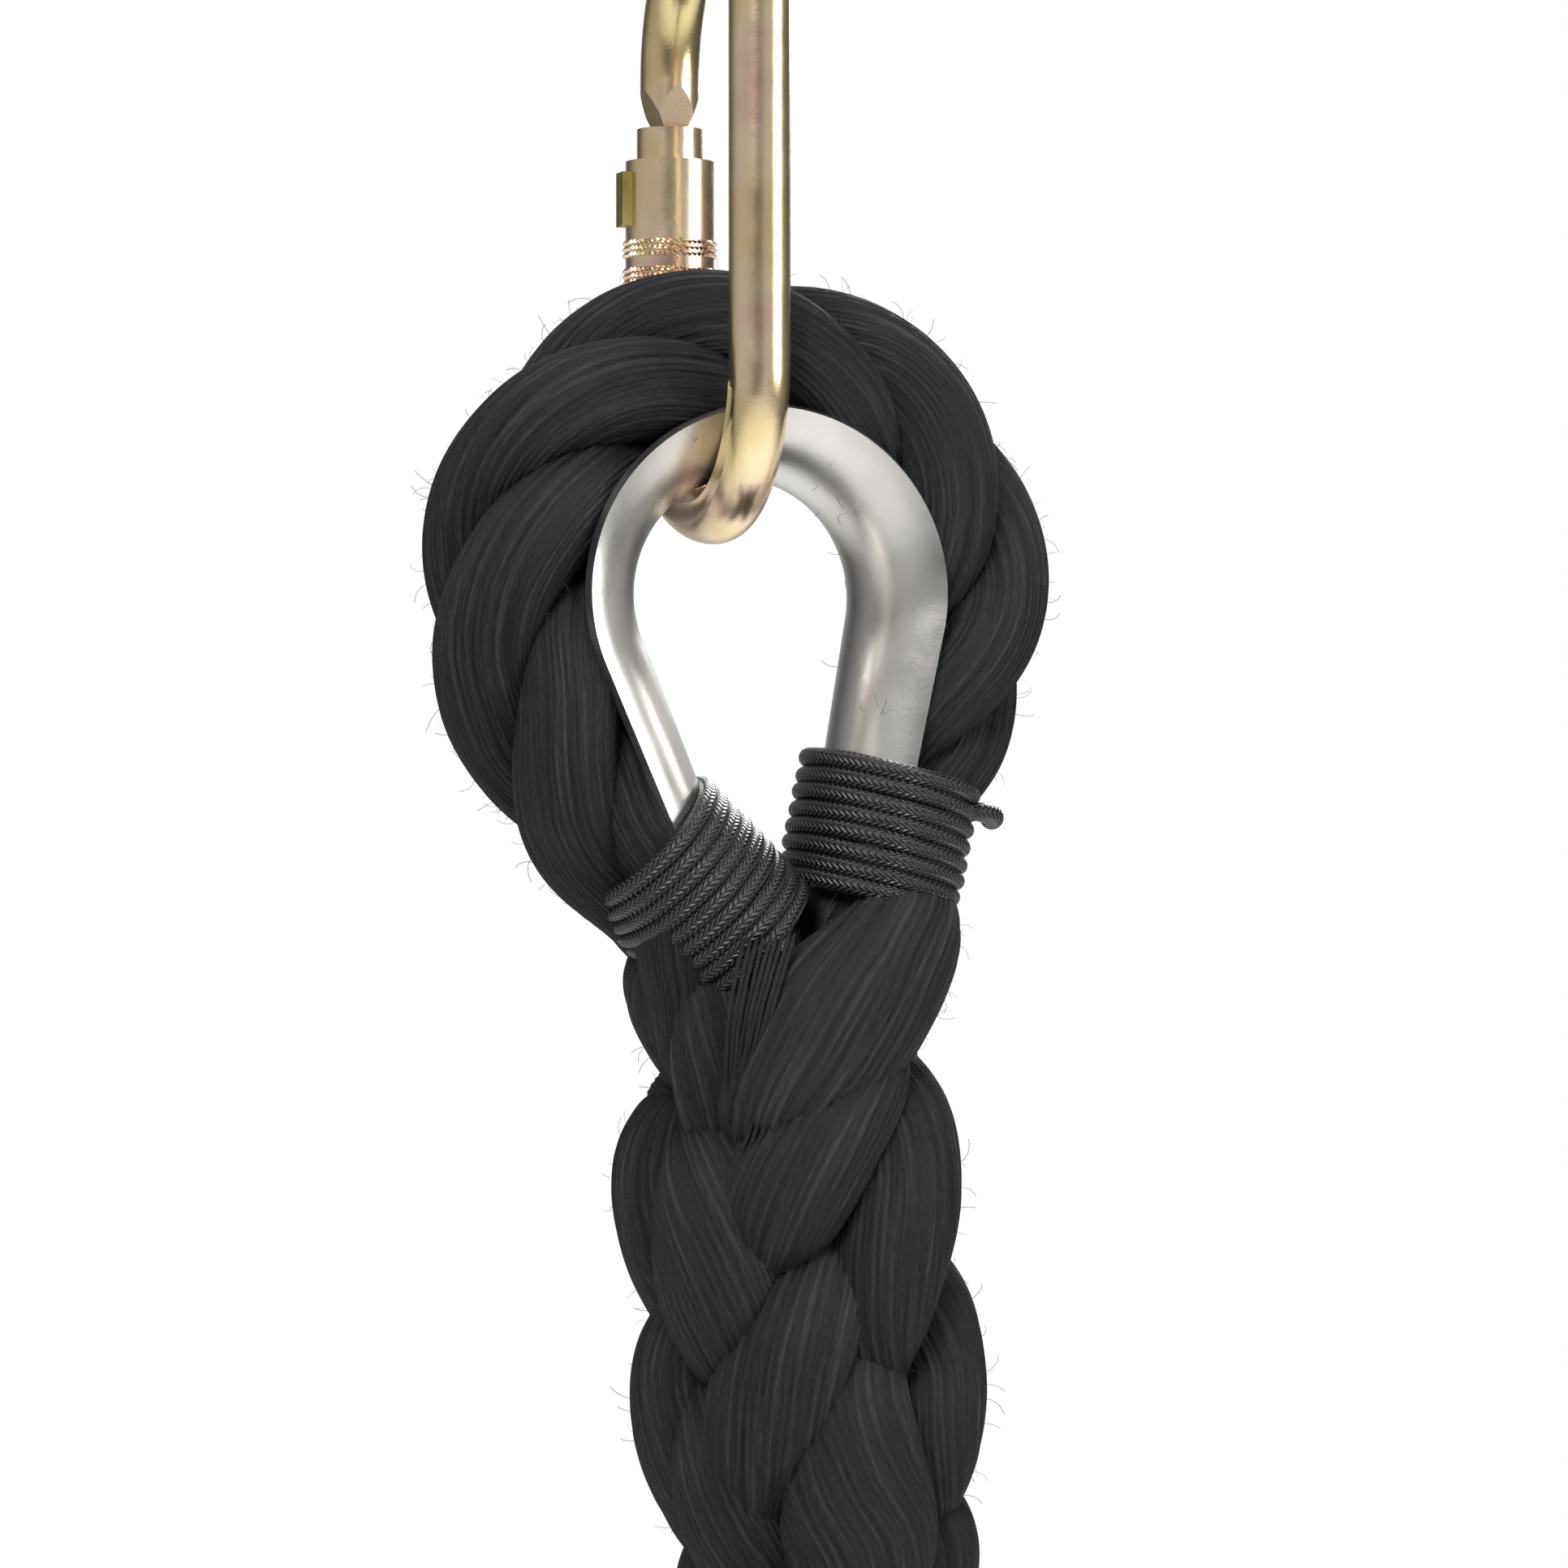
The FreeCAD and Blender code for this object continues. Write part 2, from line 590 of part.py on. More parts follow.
def make_seizings(thimble):
    """Turns of small cord that lash each rope leg to its leg of the thimble."""
    rings = []
    cord = size("seizing_cord")
    half_across = size("seizing_half_across")
    half_thick = size("seizing_half_thick")
    for label, u, v, tilt, turns in SEIZINGS:
        turn = math.radians(tilt)
        side = 1 if u > 0 else -1
        along = local(-side * abs(math.sin(turn)), 0, abs(math.cos(turn)))
        length = size(turns) * cord
        outer = oval(u, v, tilt, half_across + cord, half_thick + cord)
        inner = oval(u, v, tilt, half_across, half_thick)
        whole = Part.Face(outer).extrude(along * length)
        hollow = Part.Face(inner).extrude(along * (length + 2))
        hollow.translate(along * -1)
        ring = whole.cut(hollow)
        ring.translate(along * (-length / 2))
        ring = trimmed(in_place(ring), thimble, *rings)
        rings.append(ring)
        keep(feature(label + "_turns", ring, ring.Placement), label)
    knot_radius = 0.85 * cord
    knob = doc.addObject("Part::Sphere", "right_seizing_knot")
    knob.Radius = knot_radius
    knob.Placement = Placement(eye_frame.multVec(local(48.5, -4, 49.8)), Rotation())
    keep(knob, "right_seizing_end")
    return rings


def make_rope_eye(thimble, rings):
    """The rope round the thimble: the bight and its two legs, squeezed by the seizings."""
    angle = size("rope_leg_angle")
    turn = math.radians(angle)
    start_u = loop_radius * math.cos(turn)
    start_v = loop_radius * math.sin(turn)
    tangent = local(-math.sin(turn), 0, math.cos(turn))
    disc = Part.Face(Part.Wire(Part.makeCircle(rope_radius, local(start_u, 0, start_v), tangent)))
    bight = disc.revolve(Vector(), Vector(0, -1, 0), 180 + 2 * angle)
    bight = trimmed(in_place(bight), thimble)
    keep(feature("bight", bight, bight.Placement), "rope_bight")

    for label, side, tilt, rows in (
            ("rope_leg_right", 1, angle, RIGHT_LEG), ("rope_leg_left", -1, 180 - angle, LEFT_LEG)):
        sections = [oval(side * start_u, start_v, tilt, rope_radius - 0.03, rope_radius)]
        for row in rows:
            sections.append(oval(*row))
        leg = Part.makeLoft(sections, True, False)
        half = Part.makeBox(120, 80, 160, Vector(0.1 if side > 0 else -120.1, -40, -150))
        leg = leg.common(half)
        leg = trimmed(in_place(leg), thimble, *rings)
        keep(feature(label + "_rope", leg, leg.Placement), label)


def make_splice():
    """The splice's thick body, as one turned form about the eye's axis."""
    start = size("splice_start")
    end = size("splice_end")
    widest = size("splice_diameter") / 2
    curve = Part.BSplineCurve()
    curve.interpolate([
        local(size("splice_waist") / 2, 0, start), local(widest, 0, start + 0.33 * (end - start)),
        local(widest, 0, start + 0.7 * (end - start)), local(size("splice_foot") / 2, 0, end)])
    outline = Part.Wire([
        Part.LineSegment(local(0, 0, start), local(size("splice_waist") / 2, 0, start)).toShape(),
        curve.toShape(),
        Part.LineSegment(local(size("splice_foot") / 2, 0, end), local(0, 0, end)).toShape(),
        Part.LineSegment(local(0, 0, end), local(0, 0, start)).toShape()])
    shape = Part.Face(outline).revolve(Vector(), Vector(0, 0, 1), 360)
    keep(feature("splice_body", shape, eye_frame), "rope_splice")

    top = Part.Wire(Part.makeCircle(
        size("splice_foot") / 2, eye_frame.multVec(local(0, 0, end)),
        eye_frame.Rotation.multVec(Vector(0, 0, -1))))
    foot = Part.Wire(Part.makeCircle(rope_radius, FALL[0], FALL[1] - FALL[0]))
    keep(feature("splice_tail", Part.makeLoft([top, foot], True, True)), "splice_taper")


# ------------------------------------------------------- free rope and its coil
# The fall's route, from the end of the splice to the start of the coil.
FALL = [
    Vector(27.8, 0, -384.0),
    Vector(31.3, -3, -424.0),
    Vector(46.5, -9, -462.0),
    Vector(73.5, -15, -493.5),
    Vector(106.5, -19, -517.0),
]


def tube_path(points):
    """Straight runs joined by tangent arcs, each as large as its two runs allow."""
    edges = []
    radii = []
    here = points[0]
    for before, corner, after in zip(points, points[1:], points[2:]):
        first = (before - corner)
        second = (after - corner)
        turn = math.pi - first.getAngle(second)
        setback = 0.45 * min(first.Length, second.Length)
        radius = setback / math.tan(turn / 2)
        first.normalize()
        second.normalize()
        start = corner + first * setback
        end = corner + second * setback
        inward = first + second
        inward.normalize()
        middle = corner + inward * (radius / math.cos(turn / 2) - radius)
        edges.append(Part.LineSegment(here, start).toShape())
        edges.append(Part.Arc(start, middle, end).toShape())
        radii.append(round(radius, 1))
        here = end
    edges.append(Part.LineSegment(here, points[-1]).toShape())
    return Part.Wire(edges), radii


def make_fall(coil):
    """The rope that hangs free between the splice and the coil."""
    path, radii = tube_path(FALL)
    profile = Part.Wire(Part.makeCircle(rope_radius, FALL[0], FALL[1] - FALL[0]))
    tube = path.makePipeShell([profile], True, False)
    expected = math.pi * rope_radius ** 2 * path.Length
    print("rope_fall radii", radii, "length", round(path.Length, 1),
          "volume ratio", round(tube.Volume / expected, 4))
    keep(feature("free_fall", trimmed(tube, coil)), "rope_fall")


def layered_section(radius, low_y, high_y):
    """A section across the coil: round ends of the given radius at two places along Y."""
    at = size("coil_radius")
    if high_y - low_y < 0.01:
        return Part.Face(Part.Wire(Part.makeCircle(radius, Vector(0, low_y, at), Vector(1, 0, 0))))
    return Part.Face(Part.Wire([
        Part.LineSegment(Vector(0, low_y, at + radius), Vector(0, high_y, at + radius)).toShape(),
        Part.Arc(Vector(0, high_y, at + radius), Vector(0, high_y + radius, at),
                 Vector(0, high_y, at - radius)).toShape(),
        Part.LineSegment(Vector(0, high_y, at - radius), Vector(0, low_y, at - radius)).toShape(),
        Part.Arc(Vector(0, low_y, at - radius), Vector(0, low_y - radius, at),
                 Vector(0, low_y, at + radius)).toShape()]))


def swept(face, first, last):
    """A face carried round the coil's axis between two angles from the top, clockwise."""
    turned = face.copy()
    turned.rotate(Vector(), Vector(0, 1, 0), first)
    return turned.revolve(Vector(), Vector(0, 1, 0), last - first)


def make_coil():
    """The spare rope: nearly two turns side by side, three ties and a capped end."""
    start = size("coil_start_angle")
    end = size("coil_end_angle")
    turn = math.radians(start)
    centre = FALL[-1] - Vector(math.sin(turn), 0, math.cos(turn)) * size("coil_radius")
    frame = Placement(Vector(centre.x, 0, centre.z), Rotation())
    layer = rope_radius + size("layer_play")
    both = swept(layered_section(rope_radius, -layer, layer), start, end)
    front = swept(layered_section(rope_radius, -layer, -layer), end, size("front_turn_end"))
    rear = swept(layered_section(rope_radius, layer, layer), size("rear_turn_start"), start)
    turns = keep(feature("coil_turns", both.fuse([front, rear]), frame), "rope_coil")

    half = math.degrees(size("tie_width") / 2 / size("coil_radius"))
    band = layered_section(rope_radius + size("tie_thickness"), -layer, layer)
    band = band.cut(layered_section(rope_radius, -layer, layer)).Faces[0]
    for side in ("right", "bottom", "left"):
        label = "coil_tie_" + side
        angle = size(f"tie_{side}_angle")
        keep(feature(label + "_band", swept(band, angle - half, angle + half), frame), label)

    cap_r = size("cap_diameter") / 2
    reach = math.radians(end)
    heading = Vector(math.cos(reach), 0, -math.sin(reach))
    seat = Vector(math.sin(reach), 0, math.cos(reach)) * size("coil_radius")
    seat.y = layer + size("cap_stand_off")
    cap = Part.makeCylinder(cap_r, size("cap_length"), seat, heading)
    cap = cap.makeFillet(size("cap_rounding"), [cap.Edges[index] for index in far_edges(cap, seat, heading)])
    keep(feature("heat_shrunk_cap", cap, frame), "rope_end_cap")
    return turns.Shape


def far_edges(cap, seat, heading):
    """The round edge of the cap's closed end."""
    found = []
    for index, edge in enumerate(cap.Edges):
        middle = edge.CenterOfMass - seat
        if edge.Closed and middle.dot(heading) > size("cap_length") - 0.01:
            found.append(index)
    return found


# --------------------------------------------------------------- build and check

make_carabiner_body()
make_hinge_pin()
make_gate()
make_springs()
make_sleeve()
thimble_shape = make_thimble()
ring_shapes = make_seizings(thimble_shape)
make_rope_eye(thimble_shape, ring_shapes)
make_splice()
make_fall(make_coil())
doc.recompute()

for item in doc.Objects:
    if "Invalid" in item.State or "Error" in item.State:
        raise RuntimeError(f"{item.Name} failed: {item.State}")
for item in NODES:
    shape = item.Shape
    if shape.isNull() or not shape.isValid():
        raise RuntimeError(f"{item.Label} has no valid shape")
    box = shape.BoundBox
    print(f"{item.Label:22s} solids {len(shape.Solids)} volume {shape.Volume:11.1f} "
          f"x {box.XMin:7.1f} {box.XMax:7.1f} y {box.YMin:6.1f} {box.YMax:6.1f} "
          f"z {box.ZMin:7.1f} {box.ZMax:7.1f}")
for item in NODES:
    item.Shape.exportStep(f"parts/{item.Label}.step")
print(len(NODES), "nodes; hole centre", [round(value, 2) for value in hole_centre])
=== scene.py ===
# %% [markdown]
# # The spliced end of a laid climbing rope
# A thick black three-strand rope ends in an eye round a steel gutter thimble, and hangs from
# a locking carabiner. Steel keeps its CAD shape and gets a finish. Rope and cord are plain
# solids in CAD, so here each strand, lobe and turn is swept again with its yarns.

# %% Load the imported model
import json
import math

import bpy
import numpy as np
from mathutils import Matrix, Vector

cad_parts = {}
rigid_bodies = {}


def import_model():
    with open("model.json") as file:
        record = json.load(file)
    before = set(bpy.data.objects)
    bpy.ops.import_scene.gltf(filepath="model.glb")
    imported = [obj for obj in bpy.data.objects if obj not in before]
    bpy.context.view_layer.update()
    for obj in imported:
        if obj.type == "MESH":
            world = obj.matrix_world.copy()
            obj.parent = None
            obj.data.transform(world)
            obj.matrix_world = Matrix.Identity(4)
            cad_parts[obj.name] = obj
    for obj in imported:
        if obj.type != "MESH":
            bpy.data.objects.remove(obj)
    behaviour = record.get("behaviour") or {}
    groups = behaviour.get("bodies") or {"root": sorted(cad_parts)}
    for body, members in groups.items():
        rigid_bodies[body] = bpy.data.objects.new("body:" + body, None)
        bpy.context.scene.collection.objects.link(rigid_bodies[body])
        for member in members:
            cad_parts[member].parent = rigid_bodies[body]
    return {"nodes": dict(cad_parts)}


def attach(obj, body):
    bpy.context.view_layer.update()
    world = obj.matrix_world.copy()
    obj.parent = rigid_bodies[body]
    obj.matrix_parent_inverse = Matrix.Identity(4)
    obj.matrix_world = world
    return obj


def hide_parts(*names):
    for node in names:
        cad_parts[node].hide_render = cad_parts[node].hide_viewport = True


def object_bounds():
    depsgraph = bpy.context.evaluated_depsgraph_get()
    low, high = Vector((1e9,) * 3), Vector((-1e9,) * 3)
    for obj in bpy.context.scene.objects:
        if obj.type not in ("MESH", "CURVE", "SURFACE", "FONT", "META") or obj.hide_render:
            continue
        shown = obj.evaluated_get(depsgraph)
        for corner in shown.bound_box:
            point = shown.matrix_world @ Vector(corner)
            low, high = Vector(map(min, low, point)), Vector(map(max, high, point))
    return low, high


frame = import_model()
cad_box = [list(corner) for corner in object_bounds()]

# %% [markdown]
# ## Frame of the eye
# The thimble leans a little, as the real one hangs. One function turns places measured
# across the eye (u), through it (y) and down it (v) into the model's frame.

# %% Frame of the eye
MM = 0.001
HOLE_CENTRE = np.array([5.2, 0.0, -130.29]) * MM
LEAN = math.radians(6.5)
ACROSS = np.array([math.cos(LEAN), 0.0, math.sin(LEAN)])
DOWN = np.array([math.sin(LEAN), 0.0, -math.cos(LEAN)])
THROUGH = np.array([0.0, 1.0, 0.0])


def in_eye(rows):
    """Rows of (u, y, v) in millimetres become places in the model's frame, in metres."""
    rows = np.atleast_2d(np.asarray(rows, dtype=float)) * MM
    return HOLE_CENTRE + rows[:, :1] * ACROSS + rows[:, 1:2] * THROUGH + rows[:, 2:3] * DOWN


print("hole centre", HOLE_CENTRE.round(4))

# %% [markdown]
# ## Camera and studio
# The camera stands to the left of the thimble's plane, level with the throat. A white world
# shows behind the object, while reflections see a softer room with darker sides, so that
# bright steel gets an edge. The floor is a pale disc far below.

# %% Camera
VIEW_AZIMUTH = math.radians(-18.0)
VIEW_DISTANCE = 1.10
VIEW_HEIGHT = 0.311
VIEW_LEVEL = -0.1676
VIEW_SHIFT_RIGHT = 0.0134
toward = np.array([math.sin(VIEW_AZIMUTH), -math.cos(VIEW_AZIMUTH), 0.0])
right = np.array([math.cos(VIEW_AZIMUTH), math.sin(VIEW_AZIMUTH), 0.0])
camera_data = bpy.data.cameras.new("studio_camera")
camera_data.angle = 2 * math.atan(VIEW_HEIGHT / 2 / VIEW_DISTANCE)
camera = bpy.data.objects.new("studio_camera", camera_data)
bpy.context.collection.objects.link(camera)
target = right * VIEW_SHIFT_RIGHT + np.array([0, 0, VIEW_LEVEL])
camera.location = Vector(target + toward * VIEW_DISTANCE)
camera.rotation_euler = (math.pi / 2, 0.0, VIEW_AZIMUTH)
bpy.context.scene.camera = camera
bpy.context.scene.view_settings.view_transform = "Standard"
print("camera at", [round(value, 3) for value in camera.location])


# %% Soft boxes
def area_light(name, place, size, power, aim=(0.0, 0.0, -0.2)):
    """A square soft box that faces a point of the object."""
    data = bpy.data.lights.new(name, "AREA")
    data.size = size
    data.energy = power
    lamp = bpy.data.objects.new(name, data)
    lamp.location = place
    lamp.rotation_euler = (Vector(aim) - Vector(place)).to_track_quat("-Z", "Y").to_euler()
    bpy.context.collection.objects.link(lamp)


area_light("key_box", (-1.0, -1.3, 1.1), 0.7, 40)
area_light("fill_box", (1.5, -1.1, 0.2), 0.8, 18)
area_light("rim_box", (0.9, 1.4, 0.6), 0.8, 24)
area_light("top_box", (0.0, -0.3, 1.6), 0.9, 20)
print("soft boxes:", sorted(lamp.name for lamp in bpy.data.lights))

# %% White world, and a softer room in reflections
ROOM_STRIPES = 5.0
ROOM_TURN = 0.6
ROOM_DARK = 0.10
ROOM_BRIGHT = 0.62
world = bpy.data.worlds.new("studio_world")
bpy.context.scene.world = world
world.use_nodes = True
nodes, links = world.node_tree.nodes, world.node_tree.links
nodes.clear()
coords = nodes.new("ShaderNodeTexCoord")
split = nodes.new("ShaderNodeSeparateXYZ")
band = nodes.new("ShaderNodeMath")
band.operation = "SINE"
stretch = nodes.new("ShaderNodeMath")
stretch.operation = "MULTIPLY_ADD"
stretch.inputs[1].default_value = ROOM_STRIPES
stretch.inputs[2].default_value = ROOM_TURN
ramp = nodes.new("ShaderNodeMapRange")
ramp.inputs["From Min"].default_value = -1.0
ramp.inputs["To Min"].default_value = ROOM_DARK
ramp.inputs["To Max"].default_value = ROOM_BRIGHT
room = nodes.new("ShaderNodeBackground")
white = nodes.new("ShaderNodeBackground")
white.inputs["Color"].default_value = (1.0, 1.0, 1.0, 1.0)
path = nodes.new("ShaderNodeLightPath")
choose = nodes.new("ShaderNodeMixShader")
output = nodes.new("ShaderNodeOutputWorld")
for source, socket in (
        (coords.outputs["Generated"], split.inputs[0]), (split.outputs["X"], stretch.inputs[0]),
        (stretch.outputs[0], band.inputs[0]), (band.outputs[0], ramp.inputs["Value"]),
        (ramp.outputs[0], room.inputs["Strength"]), (path.outputs["Is Camera Ray"], choose.inputs[0]),
        (room.outputs[0], choose.inputs[1]), (white.outputs[0], choose.inputs[2]),
        (choose.outputs[0], output.inputs["Surface"])):
    links.new(source, socket)
print("world nodes:", len(nodes))

# %% Floor
FLOOR_RADIUS = 2.6
FLOOR_DROP = 0.04
bpy.ops.mesh.primitive_circle_add(
    vertices=96, radius=FLOOR_RADIUS, fill_type="NGON", location=(0, 0, cad_box[0][2] - FLOOR_DROP))
floor = bpy.context.object
floor.name = "studio_floor"
floor_paint = bpy.data.materials.new("floor_paint")
floor_paint.use_nodes = True
floor_shader = floor_paint.node_tree.nodes["Principled BSDF"]
floor_shader.inputs["Base Color"].default_value = (0.86, 0.86, 0.85, 1)
floor.data.materials.append(floor_paint)
print("floor at", round(cad_box[0][2] - FLOOR_DROP, 3))

# %% [markdown]
# ## Finishes
# Each finish is a Principled shader. Two shader groups do what several of them share: one
# gives soft mottling for plated and brushed steel, and one gives the fibres of a yarn,
# drawn along the strand's own UV map so that they follow every bend.

# %% Shader helpers
def new_group(name, inputs, outputs):
    """An empty shader group with named float, colour or vector sockets."""
    group = bpy.data.node_groups.new(name, "ShaderNodeTree")
    for label, kind, value in inputs:
        socket = group.interface.new_socket(label, in_out="INPUT", socket_type=kind)
        if value is not None:
            socket.default_value = value
    for label, kind in outputs:
        group.interface.new_socket(label, in_out="OUTPUT", socket_type=kind)
    return group, group.nodes.new("NodeGroupInput"), group.nodes.new("NodeGroupOutput")


def maths(tree, operation, first, second=None, third=None):
    """A Math node whose inputs are sockets or plain numbers."""
    node = tree.nodes.new("ShaderNodeMath")
    node.operation = operation
    for index, value in enumerate((first, second, third)):
        if value is None:
            continue
        if isinstance(value, (int, float)):
            node.inputs[index].default_value = value
        else:
            tree.links.new(value, node.inputs[index])
    return node.outputs[0]


def noise(tree, vector, scale, detail=3.0, rough=0.5):
    """A noise texture read at a vector socket."""
    node = tree.nodes.new("ShaderNodeTexNoise")
    node.inputs["Scale"].default_value = scale
    node.inputs["Detail"].default_value = detail
    node.inputs["Roughness"].default_value = rough
    tree.links.new(vector, node.inputs["Vector"])
    return node.outputs["Fac"]


def scaled(tree, vector, factors):
    """A vector socket stretched along its axes."""
    node = tree.nodes.new("ShaderNodeMapping")
    node.inputs["Scale"].default_value = factors
    tree.links.new(vector, node.inputs["Vector"])
    return node.outputs[0]


print("shader helpers ready")

# %% Shader groups
FLOAT = "NodeSocketFloat"
plating, plating_in, plating_out = new_group(
    "mottled_metal", [("Scale", FLOAT, 60.0), ("Pit Scale", FLOAT, 900.0)],
    [("Bloom", FLOAT), ("Cloud", FLOAT), ("Pits", FLOAT)])
metal_coords = plating.nodes.new("ShaderNodeTexCoord").outputs["Object"]
for label, factor, detail in (("Bloom", 1.0, 2.0), ("Cloud", 3.1, 4.0)):
    texture = plating.nodes.new("ShaderNodeTexNoise")
    plating.links.new(metal_coords, texture.inputs["Vector"])
    texture_scale = maths(plating, "MULTIPLY", plating_in.outputs["Scale"], factor)
    plating.links.new(texture_scale, texture.inputs["Scale"])
    texture.inputs["Detail"].default_value = detail
    plating.links.new(texture.outputs["Fac"], plating_out.inputs[label])
pits = plating.nodes.new("ShaderNodeTexNoise")
plating.links.new(metal_coords, pits.inputs["Vector"])
plating.links.new(plating_in.outputs["Pit Scale"], pits.inputs["Scale"])
pits.inputs["Detail"].default_value = 5.0
plating.links.new(pits.outputs["Fac"], plating_out.inputs["Pits"])

# how many times finer each pattern is along the yarn and across it
FIBRE_STRETCH = (380.0, 5200.0, 1.0)
TONE_STRETCH = (26.0, 900.0, 1.0)
fibres, fibres_in, fibres_out = new_group(
    "yarn_fibres", [("Yarn Pitch", FLOAT, 0.001), ("Slant", FLOAT, 0.2)],
    [("Fibre", FLOAT), ("Yarn", FLOAT), ("Tone", FLOAT)])
uv = fibres.nodes.new("ShaderNodeTexCoord").outputs["UV"]
fine = noise(fibres, scaled(fibres, uv, FIBRE_STRETCH), 1.0, 4.0, 0.65)
split_uv = fibres.nodes.new("ShaderNodeSeparateXYZ")
fibres.links.new(uv, split_uv.inputs[0])
drift = maths(fibres, "MULTIPLY", split_uv.outputs["X"], fibres_in.outputs["Slant"])
around = maths(fibres, "ADD", split_uv.outputs["Y"], drift)
count = maths(fibres, "DIVIDE", around, fibres_in.outputs["Yarn Pitch"])
wave = maths(fibres, "SINE", maths(fibres, "MULTIPLY", count, math.pi))
ridge = maths(fibres, "ABSOLUTE", wave)
tone = noise(fibres, scaled(fibres, uv, TONE_STRETCH), 1.0, 2.0, 0.5)
fibres.links.new(fine, fibres_out.inputs["Fibre"])
fibres.links.new(maths(fibres, "POWER", ridge, 0.6), fibres_out.inputs["Yarn"])
fibres.links.new(tone, fibres_out.inputs["Tone"])
print("shader groups:", plating.name, fibres.name)

# %% [markdown]
# ## Metal
# The real steel is forged and plated: its yellow zinc drifts between gold, pink and olive.
# A colour ramp read at a slow noise gives that drift, and fine pits break up the gloss.


# %% Metal helpers
def principled(name, roughness=0.5, metallic=0.0):
    """A material and its Principled shader."""
    material = bpy.data.materials.new(name)
    material.use_nodes = True
    shader = material.node_tree.nodes["Principled BSDF"]
    shader.inputs["Roughness"].default_value = roughness
    shader.inputs["Metallic"].default_value = metallic
    return material, material.node_tree, shader


def ramp_of(tree, factor, stops):
    """A colour ramp from (position, colour) stops."""
    node = tree.nodes.new("ShaderNodeValToRGB")
    elements = node.color_ramp.elements
    while len(elements) < len(stops):
        elements.new(0.5)
    for element, (position, colour) in zip(elements, stops):
        element.position = position
        element.color = (*colour, 1.0)
    tree.links.new(factor, node.inputs["Fac"])
    return node.outputs["Color"]


def bump(tree, shader, height, distance, strength=0.5, previous=None):
    """A bump node in front of the shader's normal."""
    node = tree.nodes.new("ShaderNodeBump")
    node.inputs["Distance"].default_value = distance
    node.inputs["Strength"].default_value = strength
    tree.links.new(height, node.inputs["Height"])
    if previous is not None:
        tree.links.new(previous, node.inputs["Normal"])
    tree.links.new(node.outputs["Normal"], shader.inputs["Normal"])
    return node.outputs["Normal"]


def metal(name, stops, scale, pit_scale, roughness, pit_depth):
    """Steel whose colour drifts through a few plating tones, with fine pits."""
    material, tree, shader = principled(name, metallic=1.0)
    group = tree.nodes.new("ShaderNodeGroup")
    group.node_tree = plating
    group.inputs["Scale"].default_value = scale
    group.inputs["Pit Scale"].default_value = pit_scale
    tree.links.new(ramp_of(tree, group.outputs["Bloom"], stops), shader.inputs["Base Color"])
    low, high = roughness
    spread = maths(tree, "MULTIPLY_ADD", group.outputs["Cloud"], high - low, low)
    tree.links.new(spread, shader.inputs["Roughness"])
    bump(tree, shader, group.outputs["Pits"], pit_depth, 0.35)
    return material


print("metal helpers ready")

# %% Four metals
GOLD = (0.80, 0.62, 0.34)
PINK = (0.82, 0.58, 0.44)
OLIVE = (0.68, 0.57, 0.28)
PALE = (0.86, 0.71, 0.47)
yellow_zinc = metal(
    "yellow_zinc", [(0.32, OLIVE), (0.42, GOLD), (0.52, PALE), (0.60, PINK), (0.72, GOLD)],
    scale=38.0, pit_scale=1400.0, roughness=(0.16, 0.34), pit_depth=0.00006)
olive_zinc = metal(
    "olive_zinc", [(0.35, (0.30, 0.26, 0.08)), (0.65, (0.52, 0.46, 0.20))],
    scale=90.0, pit_scale=1500.0, roughness=(0.25, 0.45), pit_depth=0.00008)
stainless = metal(
    "satin_stainless", [(0.35, (0.58, 0.56, 0.54)), (0.65, (0.72, 0.70, 0.67))],
    scale=40.0, pit_scale=1100.0, roughness=(0.22, 0.38), pit_depth=0.00007)
bright_steel = metal(
    "bright_steel", [(0.4, (0.60, 0.58, 0.54)), (0.6, (0.75, 0.73, 0.70))],
    scale=200.0, pit_scale=2500.0, roughness=(0.18, 0.3), pit_depth=0.00003)
print("metals ready")

# %% [markdown]
# ## Yarn, braid and plastic
# Rope yarn is dyed black and dull, but worn fibres on it are paler, so the colour follows the
# fibres. The seizing cord and the ties have a woven cover with a little more shine, whose colour
# holds painted shade between its yarns and painted highlight on their crests.


# %% Rope yarns
FIBRE_DEPTH = 0.00055
NEARLY_BLACK = (0.0010, 0.0010, 0.0014)
WORN_GREY = (0.054, 0.055, 0.063)


def yarn_material(name, dark, light, pitch, slant, ridge_depth, fleck=0.35):
    """Dyed yarn: dull, fuzzy, with paler flecks that follow single yarns."""
    material, tree, shader = principled(name, 0.62)
    shader.inputs["Specular IOR Level"].default_value = 0.28
    group = tree.nodes.new("ShaderNodeGroup")
    group.node_tree = fibres
    group.inputs["Yarn Pitch"].default_value = pitch
    group.inputs["Slant"].default_value = slant
    blend_tone = maths(tree, "MULTIPLY_ADD", group.outputs["Fibre"], fleck,
                       maths(tree, "MULTIPLY", group.outputs["Tone"], 1.0 - fleck))
    between = tuple(0.75 * a + 0.25 * b for a, b in zip(dark, light))
    colour = ramp_of(tree, blend_tone, [(0.34, dark), (0.53, between), (0.72, light)])
    tree.links.new(colour, shader.inputs["Base Color"])
    first = bump(tree, shader, group.outputs["Fibre"], FIBRE_DEPTH, 1.0)
    if ridge_depth:
        bump(tree, shader, group.outputs["Yarn"], ridge_depth, 0.9, first)
    return material


rope_yarn = yarn_material(
    "black_rope_yarn", NEARLY_BLACK, WORN_GREY, pitch=0.001, slant=0.1, ridge_depth=0.0)
coil_yarn = yarn_material(
    "black_coil_yarn", NEARLY_BLACK, WORN_GREY, pitch=0.0011, slant=0.25, ridge_depth=0.0007)
print("yarns:", rope_yarn.name, coil_yarn.name)


